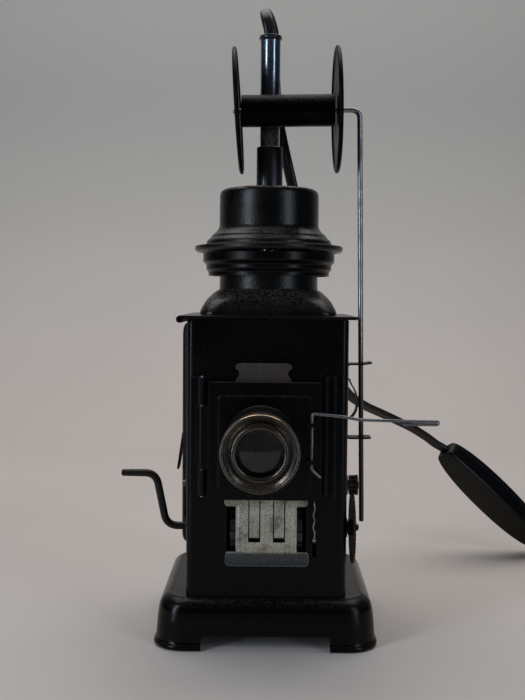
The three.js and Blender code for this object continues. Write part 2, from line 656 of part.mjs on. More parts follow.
// ---------------------------------------------------------------- lens board
function lensBoard() {
  const plate = frontPlate(slotShape(BOARD_LEFT, BOARD_RIGHT, BOARD_BOTTOM, BOARD_TOP, 1), BOARD_Y - 1, BOARD_Y);
  const raised = slotShape(BOARD_LEFT + 4.3, BOARD_RIGHT - 4.3, BOARD_BOTTOM + 4.5, BOARD_TOP - 5.6, 1.5);
  const step = frontPlate(raised, BOARD_FRONT, BOARD_Y);
  const hollowShape = slotShape(BOARD_LEFT + 5.4, BOARD_RIGHT - 5.4, BOARD_BOTTOM + 5.6, BOARD_TOP - 6.7, 1);
  const hollow = frontPlate(hollowShape, BOARD_Y - 1, BOARD_Y + 1);
  const knuckle = disc(1.35, 76.4, 102.6, 14).translate(BOARD_HINGE_X, BOARD_HINGE_Y, 0);
  const leaf = block(BOARD_HINGE_X, BOARD_LEFT + 0.5, BOARD_Y - 0.7, BOARD_Y, 76.4, 102.6);
  const bore = disc(0.95, 60, 120, 14).translate(BOARD_HINGE_X, BOARD_HINGE_Y, 0);
  return cut(join(cut(join(plate, step), hollow), leaf, knuckle), bore, frontHole(13.3, LENS_X, LENS_Z));
}

function pressureFrame() {
  const y1 = FRONT - 3 * GAP - 2 * THIN;
  return cut(frontPlate(slotShape(-17, 16.5, 76, 101.6, 2), y1 - THIN, y1), filmWindow());
}

addPart(lantern, 'lens_board', lensBoard(), BLACK);
addPart(lantern, 'film_pressure_frame', pressureFrame(), TIN);

const lens = groupAt(lantern, LENS_X, BOARD_FRONT, LENS_Z);
lens.rotation.x = Math.PI / 2; // local Z points out of the board

const sleeveProfile = [[13.35, GAP], [14.8, GAP], [14.8, 1.8], [14.2, 2.4], [14.2, 20], [13.35, 20]];
const ringProfile = [ // front cell: rolled rim, flat cone and a raised ring round the glass
  [13.3, 29.4], [14.9, 29.4], [15.3, 30.2], [15.3, 36.0], [14.9, 36.9], [14.2, 37.0], [13.7, 36.4],
  [10.3, 34.9], [9.9, 35.9], [9.1, 36.1], [8.3, 35.2], [8.3, 33.4], [9.6, 33.4], [9.8, 33.2], [13.3, 33.2],
];
const frontGlass = [[0, 30.6], [9.4, 30.6], [9.4, 33.0], [8.0, 33.4], [5, 34.1], [2, 34.5], [0, 34.6]];
const rearGlass = [[0, 10.4], [11.6, 10.4], [11.6, 12.2], [8, 13.4], [4, 14.1], [0, 14.3]];

addPart(lens, 'lens_sleeve', turnedRing(sleeveProfile, 24), BLACK);
addPart(lens, 'lens_tube', tubeOf(13, 12.1, 9, 32.9, 24), WORN);
addPart(lens, 'lens_front_ring', turnedRing(ringProfile, 24), NICKEL);
addPart(lens, 'front_lens', turned(frontGlass), GLASS);
addPart(lens, 'rear_lens', turned(rearGlass), GLASS);

// ---------------------------------------------------------------- wire lever on the lens board
const leverCorners = [
  [22.3, LEVER_Y, 73.8], [LEVER_X, LEVER_Y, 77.4], [LEVER_X, LEVER_Y, 100.3], [31.8, LEVER_Y, 99.1],
  [38, LEVER_Y, 98], [70, LEVER_Y, 97.4], [70, LEVER_Y - 2.3, 97.4], [56, LEVER_Y - 2.3, 97.7],
];

function leverBracket() {
  const back = block(LEVER_X - 2, LEVER_X + 2, BOARD_Y - 1 - GAP - 0.9, BOARD_Y - 1 - GAP, 79.5, 96.5);
  const lugs = [79.5, 94.9].map((z) => {
    return block(LEVER_X - 2, LEVER_X + 2, LEVER_Y - 1.7, BOARD_Y - 1 - GAP, z, z + 1.6);
  });
  const bore = disc(LEVER_R + GAP, 70, 105, 12).translate(LEVER_X, LEVER_Y, 0);
  const inset = block(LEVER_X - 3, BOARD_RIGHT - 4.3 + GAP, BOARD_FRONT - GAP, BOARD_Y, 70, 105);
  return cut(join(back, ...lugs), bore, inset);
}

addPart(lantern, 'lever_bracket', leverBracket(), BLACK);
addPart(lantern, 'wire_lever', wire(leverCorners, LEVER_R, 1.1, 8), STEEL);

// ---------------------------------------------------------------- film drive
const drive = groupAt(lantern, 0, SHAFT_Y, SHAFT_Z);
const driveAxis = new THREE.Group();
driveAxis.rotation.y = Math.PI / 2; // local Z points to +X
drive.add(driveAxis);
const beater = groupAt(lantern, 0, SHAFT_Y, PINION_Z);
const beaterAxis = new THREE.Group();
beaterAxis.rotation.y = Math.PI / 2;
beater.add(beaterAxis);

const crankCorners = [
  [40.3, 0, 0], [-43.4, 0, 0], [-48.1, 0, CRANK_THROW], [-63.2, 0, CRANK_THROW],
];

function sprocketWheel(middle) {
  const shape = toothedShape(DRUM_TEETH, DRUM_R, DRUM_R + 1.2, 0.1, 0.19, 0);
  return toothedWheel(shape, middle - 1.2, middle + 1.2, SHAFT_R + GAP);
}

function driveGear() {
  const pitchR = MODULE * GEAR_TEETH / 2;
  const shape = toothedShape(GEAR_TEETH, pitchR - 0.66, pitchR + 0.5, 0.12, 0.3, 0);
  const hub = disc(3.4, 35.5, 38.8);
  const wheel = toothedWheel(shape, 36.8, 37.8, SHAFT_R);
  return cut(join(wheel, hub), disc(SHAFT_R + GAP, 30, 45, 14));
}

function pinionGear() {
  const pitchR = MODULE * PINION_TEETH / 2;
  const halfPitch = Math.PI / PINION_TEETH;
  const shape = toothedShape(PINION_TEETH, pitchR - 0.66, pitchR + 0.45, 0.1, 0.28, halfPitch);
  const wheel = toothedWheel(shape, 35.6, 38.5, PINION_SHAFT_R);
  const flange = disc(4.4, 38.4, 39.4);
  return cut(join(wheel, flange), disc(PINION_SHAFT_R + GAP, 30, 45, 16));
}

function bush(bore) {
  // flange outside the wall, stem through it; Z = 0 is the outer face of the wall
  return turnedRing([[bore, -2.4], [3, -2.4], [3, GAP], [4.4, GAP], [4.4, 1.0], [bore, 1.0]], 12);
}

function beaterFrame() {
  const arms = [[-11.5, -9.5], [9.5, 11.5]].map(([x0, x1]) => {
    const hub = disc(2.9, x0, x1, 16);
    const bar = block(-1.6, 1.6, 0, BEATER_OFFSET, x0, x1);
    const tip = disc(2.1, x0, x1, 16).translate(0, BEATER_OFFSET, 0);
    return join(hub, bar, tip);
  });
  const roller = disc(1.5, -10, 10, 14).translate(0, BEATER_OFFSET, 0);
  return cut(join(roller, ...arms), disc(PINION_SHAFT_R + GAP, -20, 20, 16));
}

addPart(drive, 'crank_shaft', wire(crankCorners, SHAFT_R, 5, 14), BLACK);
addPart(driveAxis, 'sprocket_drum', tubeOf(10.8, SHAFT_R + GAP, -TOOTH_ROW + 1.5, TOOTH_ROW - 1.5, 24), WORN);
addPart(driveAxis, 'sprocket_wheel_left', sprocketWheel(-TOOTH_ROW), BRASS);
addPart(driveAxis, 'sprocket_wheel_right', sprocketWheel(TOOTH_ROW), BRASS);
addPart(driveAxis, 'drive_gear', driveGear(), BRASS);
addPart(beaterAxis, 'pinion_shaft', disc(PINION_SHAFT_R, -36.4, 40.2, 14), STEEL);
addPart(beaterAxis, 'pinion', pinionGear(), BRASS);
addPart(beaterAxis, 'beater_frame', beaterFrame(), STEEL);

const bushes = [
  ['crank_bush', SHAFT_Z, SHAFT_R],
  ['pinion_bush', PINION_Z, PINION_SHAFT_R],
];
bushes.forEach(([name, z, radius]) => {
  const right = bush(radius + GAP).rotateY(Math.PI / 2).translate(RIGHT, SHAFT_Y, z);
  const left = bush(radius + GAP).rotateY(-Math.PI / 2).translate(LEFT, SHAFT_Y, z);
  addPart(lantern, `${name}_right`, right, BRASS);
  addPart(lantern, `${name}_left`, left, BRASS);
});

// ---------------------------------------------------------------- reel on its wire arm
const arm = groupAt(lantern, ARM_X, ARM_Y, 0);
arm.rotation.y = -ARM_LEAN;
const armX = (x) => x - ARM_X + REEL_Z * Math.sin(ARM_LEAN); // local x of a place beside the chimney

const reel = groupAt(arm, 0, 0, REEL_Z);
const reelAxis = new THREE.Group();
reelAxis.rotation.y = Math.PI / 2;
reel.add(reelAxis);

function reelFlange(inward) {
  // pressed disc with a rolled rim; inward is +1 where the hub side faces +X
  const face = [
    [ARM_R + 0.4, -0.8], [REEL_R - 2.2, -0.8], [REEL_R - 1.3, -1.3], [REEL_R, -0.6], [REEL_R, 0.4],
    [REEL_R - 1.3, 0.9], [REEL_R - 2.4, 0], [ARM_R + 0.4, 0],
  ];
  const flange = turnedRing(face, 24);
  return inward > 0 ? flange : flange.rotateY(Math.PI);
}

const armCorners = [[0, 0, ARM_BOTTOM], [0, 0, REEL_Z], [armX(REEL_LEFT - 2.6), 0, REEL_Z]];
addPart(arm, 'reel_arm', wire(armCorners, ARM_R, 4, 12), STEEL);
const coreEnds = [armX(REEL_LEFT) + 1.3, armX(REEL_RIGHT) - 1];
addPart(reelAxis, 'reel_core', tubeOf(CORE_R, CORE_R - THIN, ...coreEnds), BLACK);
const leftFlange = reelFlange(1);
leftFlange.rotateY(-FLANGE_TILT).translate(0, 0, armX(REEL_LEFT));
addPart(reelAxis, 'reel_flange_left', leftFlange, BLACK);
addPart(reelAxis, 'reel_flange_right', reelFlange(-1).translate(0, 0, armX(REEL_RIGHT)), BLACK);

function clipBracket() {
  const line = [
    [45.4, CLIP_TOP + 0.7], [41.5, CLIP_TOP], [RIGHT + GAP + 0.5, CLIP_TOP], [RIGHT + GAP + 0.5, CLIP_BOTTOM],
    [41.5, CLIP_BOTTOM], [45.4, CLIP_BOTTOM + 0.2],
  ];
  const armHole = (z) => disc(ARM_R + 0.6, z - 2, z + 2, 16).translate(ARM_X - z * Math.sin(ARM_LEAN), ARM_Y, 0);
  const bracket = strip(line, THIN, ARM_Y - 4, ARM_Y + 4);
  return cut(bracket, armHole(CLIP_TOP), armHole(CLIP_BOTTOM));
}

const springLine = [
  [35.8, 112.4], [36.3, 109.8], [37.6, 107.2], [38.7, 104], [39.3, 100.6], [39.3, 97], [38.7, 93.6], [37.3, 90.6],
  [36.0, 89.2],
];
addPart(lantern, 'clip_bracket', clipBracket(), BLACK);
addPart(lantern, 'clip_spring', strip(springLine, 0.5, ARM_Y - 3, ARM_Y + 3), STEEL);

// ---------------------------------------------------------------- lead, switch, coil and plug
const switchRun = SWITCH_END.clone().sub(SWITCH_TOP);
const switchLength = switchRun.length();
const switchFrame = new THREE.Group();
const along = switchRun.clone().normalize();
const across = new THREE.Vector3(0, 1, 0).addScaledVector(along, -along.y).normalize();
across.applyAxisAngle(along, SWITCH_ROLL);
const through = along.clone().cross(across).normalize();
switchFrame.applyMatrix4(new THREE.Matrix4().makeBasis(along, across, through));
switchFrame.position.copy(SWITCH_TOP).add(SWITCH_END).multiplyScalar(0.5);
cordSet.add(switchFrame);

// one half of the body: a domed oval whose joint face lies on local Z = 0
function switchShell(side) {
  const neck = SWITCH_NECK / 2;
  const roundness = 0.7; // 1 is an ellipse, less is squarer
  const loops = [];
  const rings = 10;
  const arcSteps = 8;
  for (let k = 0; k <= rings; k += 1) {
    const t = -Math.cos(k / rings * Math.PI);
    const swell = (1 - Math.abs(t) ** 2.4) ** 0.6;
    const halfW = neck + (SWITCH_W / 2 - neck) * swell;
    const height = neck + (SWITCH_T / 2 - GAP / 2 - neck) * swell;
    const loop = [];
    for (let i = 0; i <= arcSteps; i += 1) {
      const angle = i / arcSteps * Math.PI;
      const y = halfW * Math.sign(Math.cos(angle)) * Math.abs(Math.cos(angle)) ** roundness;
      const z = GAP / 2 + height * Math.sin(angle) ** roundness;
      loop.push(new THREE.Vector3(t * switchLength / 2, y, side * z));
    }
    loops.push(loop);
  }
  const leadHole = disc(CORD_D / 2 + GAP, -60, -switchLength / 2 + 3, 12).rotateY(Math.PI / 2);
  return cut(loft(loops), leadHole, leadHole.clone().rotateZ(Math.PI));
}

function rockerWell() {
  const halfLength = ROCKER_LENGTH / 2 + 0.6;
  const halfWidth = ROCKER_WIDTH / 2 + GAP;
  return block(-halfLength, halfLength, -halfWidth, halfWidth, SWITCH_T / 2 - 6.4, SWITCH_T);
}

// seen from the side: one end stands proud, the other is pressed in
function rocker() {
  const end = ROCKER_LENGTH / 2;
  const face = SWITCH_T / 2;
  const outline = [
    [-end, face - 4.8], [end, face - 4.8], [end, face - 0.4], [end / 2, face + 0.4], [0, face + 0.3],
    [-end / 2, face + 1.1], [-end, face + 1],
  ].map(([x, z]) => new THREE.Vector2(x, z));
  return frontPlate(new THREE.Shape(outline), -ROCKER_WIDTH / 2, ROCKER_WIDTH / 2);
}

addPart(switchFrame, 'switch_lower_shell', switchShell(-1), BAKELITE);
addPart(switchFrame, 'switch_upper_shell', cut(switchShell(1), rockerWell()), BAKELITE);
addPart(switchFrame, 'switch_rocker', rocker(), BAKELITE);

function coilSolid() {
  const { radius, width, height } = COIL;
  const r0 = radius - width / 2;
  const r1 = radius + width / 2;
  const bevel = 2;
  return turnedRing([
    [r0 + bevel, GAP], [r1 - bevel, GAP], [r1, bevel + GAP], [r1, height - bevel], [r1 - bevel, height],
    [r0 + bevel, height], [r0, height - bevel], [r0, bevel + GAP],
  ], 28).translate(COIL.x, COIL.y, 0);
}

// flat two-pin plug lying on the floor; its lead comes in from +Y
function plug() {
  const body = new THREE.Shape([
    [-16, -3.4], [-8, -4.4], [-2, -8.4], [4, -12.6], [18, -13], [18, 13], [4, 12.6], [-2, 8.4], [-8, 4.4], [-16, 3.4],
  ].map(([x, y]) => new THREE.Vector2(x, y)));
  const settings = { depth: 9.6, bevelEnabled: true, bevelThickness: 2, bevelSize: 1, bevelSegments: 2 };
  const shell = new THREE.ExtrudeGeometry(body, settings).translate(0, 0, -4.8);
  const pins = [-9, 9].map((y) => disc(2, 16, 38, 12).rotateY(Math.PI / 2).translate(0, y, 0));
  return join(shell, ...pins).rotateZ(-Math.PI / 2).translate(PLUG.x, PLUG.y, PLUG.z);
}

addPart(cordSet, 'lamp_cord', cordTube(CORD_ROUTE, 44), PVC);
addPart(cordSet, 'mains_cord', cordTube(FLOOR_ROUTE, 6), PVC);
addPart(cordSet, 'cord_coil', coilSolid(), PVC);
addPart(cordSet, 'mains_plug', plug(), BAKELITE);

// ---------------------------------------------------------------- origin
// the middle of the lantern's own footprint, lead left out, with the floor at Z = 0
const bounds = new THREE.Box3().setFromObject(lantern);
const middle = bounds.getCenter(new THREE.Vector3());
lantern.add(cordSet);
lantern.position.set(-middle.x, -middle.y, 0);

export default lantern;
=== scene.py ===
"""Looks of the magic lantern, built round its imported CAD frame.

Shapes are written in millimetres from the chimney axis at floor level, and placed in the frame's metres.
"""
import json
import math

import bmesh
import bpy
from mathutils import Matrix, Vector

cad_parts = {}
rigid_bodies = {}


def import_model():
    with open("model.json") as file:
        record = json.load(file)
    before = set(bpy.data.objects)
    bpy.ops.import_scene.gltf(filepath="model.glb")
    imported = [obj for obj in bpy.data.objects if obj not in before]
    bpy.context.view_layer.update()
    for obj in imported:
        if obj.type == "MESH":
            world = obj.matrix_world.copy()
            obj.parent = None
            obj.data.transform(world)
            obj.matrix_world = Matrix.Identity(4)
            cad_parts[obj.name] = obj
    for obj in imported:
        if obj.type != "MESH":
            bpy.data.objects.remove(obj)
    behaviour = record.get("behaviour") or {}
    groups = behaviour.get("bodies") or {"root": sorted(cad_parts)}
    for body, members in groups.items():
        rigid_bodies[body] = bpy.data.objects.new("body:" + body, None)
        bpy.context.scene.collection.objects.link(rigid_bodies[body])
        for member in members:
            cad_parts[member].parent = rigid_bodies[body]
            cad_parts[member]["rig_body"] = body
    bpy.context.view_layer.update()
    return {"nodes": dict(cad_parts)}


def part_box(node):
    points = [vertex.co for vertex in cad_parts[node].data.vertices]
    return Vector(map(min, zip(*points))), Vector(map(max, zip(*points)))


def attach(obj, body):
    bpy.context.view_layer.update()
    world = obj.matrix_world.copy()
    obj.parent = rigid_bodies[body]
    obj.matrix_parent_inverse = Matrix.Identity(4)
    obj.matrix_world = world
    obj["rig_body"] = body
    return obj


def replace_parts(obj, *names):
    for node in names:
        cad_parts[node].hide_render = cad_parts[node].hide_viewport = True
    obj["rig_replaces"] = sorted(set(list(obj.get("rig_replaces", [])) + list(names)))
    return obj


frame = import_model()
NODES = frame["nodes"]
MM = 0.001

tube_low, tube_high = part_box("lamp_tube")
AXIS = Vector(((tube_low.x + tube_high.x) / 2, (tube_low.y + tube_high.y) / 2, 0))


def place(x, y, z):
    """A point in millimetres from the chimney axis, as metres in the frame."""
    return Vector((AXIS.x + x * MM, AXIS.y + y * MM, z * MM))


class Extent:
    """A CAD node's box in millimetres from the chimney axis."""

    def __init__(self, node):
        low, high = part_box(node)
        self.x0, self.y0, self.z0 = (low - AXIS) / MM
        self.x1, self.y1, self.z1 = (high - AXIS) / MM
        self.x = (self.x0 + self.x1) / 2
        self.y = (self.y0 + self.y1) / 2
        self.z = (self.z0 + self.z1) / 2


# ---------------------------------------------------------------- camera
camera_data = bpy.data.cameras.new("camera")
camera_data.lens = 50
camera_data.sensor_width = 36
camera_data.clip_start = 0.01
camera_data.clip_end = 20
camera = bpy.data.objects.new("camera", camera_data)
bpy.context.scene.collection.objects.link(camera)
bpy.context.scene.camera = camera
CAMERA_PLACE = (1.25, -442.4, 147.6)
CAMERA_TURN = 0.0085
CAMERA_PITCH = -0.0537
CAMERA_ROLL = 0.0085
camera.matrix_world = (
    Matrix.Translation(place(*CAMERA_PLACE))
    @ Matrix.Rotation(CAMERA_TURN, 4, "Z")
    @ Matrix.Rotation(math.pi / 2 + CAMERA_PITCH, 4, "X")
    @ Matrix.Rotation(CAMERA_ROLL, 4, "Z")
)


# ---------------------------------------------------------------- shapes as (points, faces), in millimetres
def spin(profile, sides=96):
    """Turns a closed [radius, height] profile about Z. Ends that lie on the axis close there."""
    on_axis = profile[0][0] == 0 and profile[-1][0] == 0
    rows = profile[1:-1] if on_axis else profile
    count = len(rows)
    points = []
    for i in range(sides):
        turn = math.tau * i / sides
        points += [(r * math.cos(turn), r * math.sin(turn), z) for r, z in rows]
    faces = []
    for i in range(sides):
        j = (i + 1) % sides
        for k in range(count - 1 if on_axis else count):
            n = (k + 1) % count
            faces.append((i * count + k, j * count + k, j * count + n, i * count + n))
    if on_axis:
        points += [(0, 0, profile[0][1]), (0, 0, profile[-1][1])]
        first, last = len(points) - 2, len(points) - 1
        for i in range(sides):
            j = (i + 1) % sides
            faces.append((first, j * count, i * count))
            faces.append((last, i * count + count - 1, j * count + count - 1))
    return points, faces


def corner_curve(start, corner, end, steps):
    """A short curve from start to end that is pulled towards the corner."""
    places = [k / steps for k in range(steps + 1)]
    return [start * (1 - t) ** 2 + corner * 2 * t * (1 - t) + end * t ** 2 for t in places]


def rounded(outline, radius, steps=4, closed=True):
    """A 2-D outline with each corner replaced by a short curve. A corner may carry its own radius third."""
    result = []
    count = len(outline)
    for i, corner in enumerate(outline):
        here = Vector(corner[:2])
        own = corner[2] if len(corner) > 2 else radius
        if (not closed and i in (0, count - 1)) or own == 0:
            result.append(tuple(here))
            continue
        before = Vector(outline[i - 1][:2]) - here
        after = Vector(outline[(i + 1) % count][:2]) - here
        back = min(own, before.length * 0.48)
        ahead = min(own, after.length * 0.48)
        start = here + before.normalized() * back
        end = here + after.normalized() * ahead
        result += [tuple(point) for point in corner_curve(start, here, end, steps)]
    return result


def skin(loops, closed=False):
    """Faces through a stack of loops. Both ends are capped, or joined to each other if closed."""
    n = len(loops[0])
    points = [tuple(p) for loop in loops for p in loop]
    faces = []
    rows = len(loops)
    for k in range(rows if closed else rows - 1):
        m = (k + 1) % rows
        for i in range(n):
            j = (i + 1) % n
            faces.append((k * n + i, k * n + j, m * n + j, m * n + i))
    if not closed:
        faces.append(tuple(reversed(range(n))))
        faces.append(tuple(range((rows - 1) * n, rows * n)))
    return points, faces


def rect_ring(x0, x1, y0, y1, radius, per_corner=6):
    """Points round a rounded rectangle, in the plane of its two axes."""
    radius = max(min(radius, (x1 - x0) / 2 - 0.01, (y1 - y0) / 2 - 0.01), 0.01)
    ring = []
    corners = [(x1, y0, -1), (x1, y1, 0), (x0, y1, 1), (x0, y0, 2)]
    for x, y, quarter in corners:
        cx = x - radius if x == x1 else x + radius
        cy = y - radius if y == y1 else y + radius
        for k in range(per_corner + 1):
            turn = (quarter + k / per_corner) * math.pi / 2
            ring.append((cx + radius * math.cos(turn), cy + radius * math.sin(turn)))
    return ring


def circle_ring(cx, cy, radius, per_corner=6):
    """A circle with as many points as rect_ring gives, in the same order."""
    count = 4 * (per_corner + 1)
    return [
        (cx + radius * math.cos(math.tau * (k + 0.5) / count - math.pi / 2),
         cy + radius * math.sin(math.tau * (k + 0.5) / count - math.pi / 2))
        for k in range(count)
    ]


def frames_along(path):
    """At each point of a path: its tangent and two directions across it, carried along without twist."""
    tangents = []
    for i in range(len(path)):
        ahead = path[min(i + 1, len(path) - 1)]
        behind = path[max(i - 1, 0)]
        tangents.append((ahead - behind).normalized())
    across = Vector((0, 0, 1))
    if abs(across.dot(tangents[0])) > 0.9:
        across = Vector((1, 0, 0))
    result = []
    for tangent in tangents:
        across = (across - tangent * across.dot(tangent)).normalized()
        result.append((tangent, across, tangent.cross(across)))
    return result


def circle(radius, sides, u=0, v=0):
    """Points round a circle about (u, v)."""
    turns = [math.tau * k / sides for k in range(sides)]
    return [(u + radius * math.cos(turn), v + radius * math.sin(turn)) for turn in turns]


def ease(t):
    """Runs from 0 to 1 with a soft start and a soft end, and is held outside of them."""
    t = min(max(t, 0), 1)
    return t * t * (3 - 2 * t)


def bent(corners, bend, steps):
    """A wire's centreline: straight runs with each corner replaced by a curve."""
    points = [Vector(c) for c in corners]
    result = [points[0]]
    for i in range(1, len(points) - 1):
        start = points[i] + (points[i - 1] - points[i]).normalized() * bend
        end = points[i] + (points[i + 1] - points[i]).normalized() * bend
        result += corner_curve(start, points[i], end, steps)
    result.append(points[-1])
    return result


def between(a, b, start, end, t):
    """a at start and b at end, in a straight line."""
    return a * ((end - t) / (end - start)) + b * ((t - start) / (end - start))


def catmull(points, per_span):
    """Smooth centripetal curve through all of the points."""
    points = [Vector(p) for p in points]
    first = points[0] * 2 - points[1]
    last = points[-1] * 2 - points[-2]
    guide = [first, *points, last]
    result = []
    for i in range(1, len(guide) - 2):
        p0, p1, p2, p3 = guide[i - 1:i + 3]
        t0 = 0.0
        t1 = t0 + (p1 - p0).length ** 0.5
        t2 = t1 + (p2 - p1).length ** 0.5
        t3 = t2 + (p3 - p2).length ** 0.5
        for k in range(per_span):
            t = t1 + (t2 - t1) * k / per_span
            middle = between(p1, p2, t1, t2, t)
            first_half = between(between(p0, p1, t0, t1, t), middle, t0, t2, t)
            second_half = between(middle, between(p2, p3, t2, t3, t), t1, t3, t)
            result.append(between(first_half, second_half, t1, t2, t))
    result.append(points[-1])
    return result


def box_shape(x0, x1, y0, y1, z0, z1):
    points = [(x, y, z) for x in (x0, x1) for y in (y0, y1) for z in (z0, z1)]
    faces = [(0, 1, 3, 2), (4, 6, 7, 5), (0, 4, 5, 1), (2, 3, 7, 6), (0, 2, 6, 4), (1, 5, 7, 3)]
    return points, faces


def moved(shape, matrix):
    points, faces = shape
    return [tuple(matrix @ Vector(p)) for p in points], faces


# local frames of the turned pieces
def facing_front(x, y, z):
    return Matrix.Translation((x, y, z)) @ Matrix.Rotation(math.pi / 2, 4, "X")


def facing_right(x, y, z):
    return Matrix.Translation((x, y, z)) @ Matrix.Rotation(math.pi / 2, 4, "Y")


# ---------------------------------------------------------------- pieces
def raw_object(name, shape, matrix=Matrix.Identity(4)):
    points, faces = shape
    mesh = bpy.data.meshes.new(name)
    mesh.from_pydata([place(*(matrix @ Vector(p))) for p in points], [], faces)
    tidy = bmesh.new()
    tidy.from_mesh(mesh)
    bmesh.ops.remove_doubles(tidy, verts=tidy.verts, dist=1e-7)
    bmesh.ops.recalc_face_normals(tidy, faces=tidy.faces)
    tidy.to_mesh(mesh)
    tidy.free()
    obj = bpy.data.objects.new(name, mesh)
    bpy.context.scene.collection.objects.link(obj)
    return obj


def settle(obj):
    """Applies the modifiers of an object to its mesh."""
    graph = bpy.context.evaluated_depsgraph_get()
    final = bpy.data.meshes.new_from_object(obj.evaluated_get(graph))
    obj.modifiers.clear()
    obj.data = final


def combine(obj, shapes, operation):
    """Cuts the shapes out of the object, or joins them to it."""
    for shape in shapes:
        tool = raw_object("tool", shape)
        modifier = obj.modifiers.new("combine", "BOOLEAN")
        modifier.object = tool
        modifier.operation = operation
        modifier.solver = "EXACT"
        settle(obj)
        bpy.data.objects.remove(tool)


BEVEL_ANGLE = math.radians(35)


def bevel(obj, width_mm):
    modifier = obj.modifiers.new("edges", "BEVEL")
    modifier.width = width_mm * MM
    modifier.segments = 2
    modifier.limit_method = "ANGLE"
    modifier.angle_limit = BEVEL_ANGLE
    modifier.harden_normals = False


def smooth(obj, angle):
    """Smooth shading that keeps sharp edges and leaves the large flat faces flat."""
    obj.data.shade_smooth()
    obj.data.set_sharp_from_angle(angle=math.radians(angle))
    modifier = obj.modifiers.new("normals", "WEIGHTED_NORMAL")
    modifier.keep_sharp = True
    modifier.weight = 80
    settle(obj)


def dress(obj, material, angle, node, *stands_for):
    """Shading and material of a piece, and the body of its CAD node."""
    smooth(obj, angle)
    obj.data.materials.clear()
    obj.data.materials.append(material)
    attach(obj, NODES[node]["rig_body"])
    if stands_for:
        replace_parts(obj, *stands_for)
    return obj


def piece(name, node, shape, material, matrix=Matrix.Identity(4), cuts=(), joins=(), edge=0, angle=38):
    """A finished piece that stands for one CAD node and rides on its body."""
    obj = raw_object(name, shape, matrix)
    combine(obj, joins, "UNION")
    combine(obj, cuts, "DIFFERENCE")
    if edge:
        bevel(obj, edge)
        settle(obj)
    return dress(obj, material, angle, node, node)


def keep(node, material, edge):
    """A CAD node whose shape is right: finer edges and a real material."""
    obj = NODES[node]
    obj.data.materials.clear()
    obj.data.materials.append(material)
    obj.data.shade_smooth()
    obj.data.set_sharp_from_angle(angle=BEVEL_ANGLE)
    if edge:
        bevel(obj, edge)
        obj.modifiers["edges"].harden_normals = True


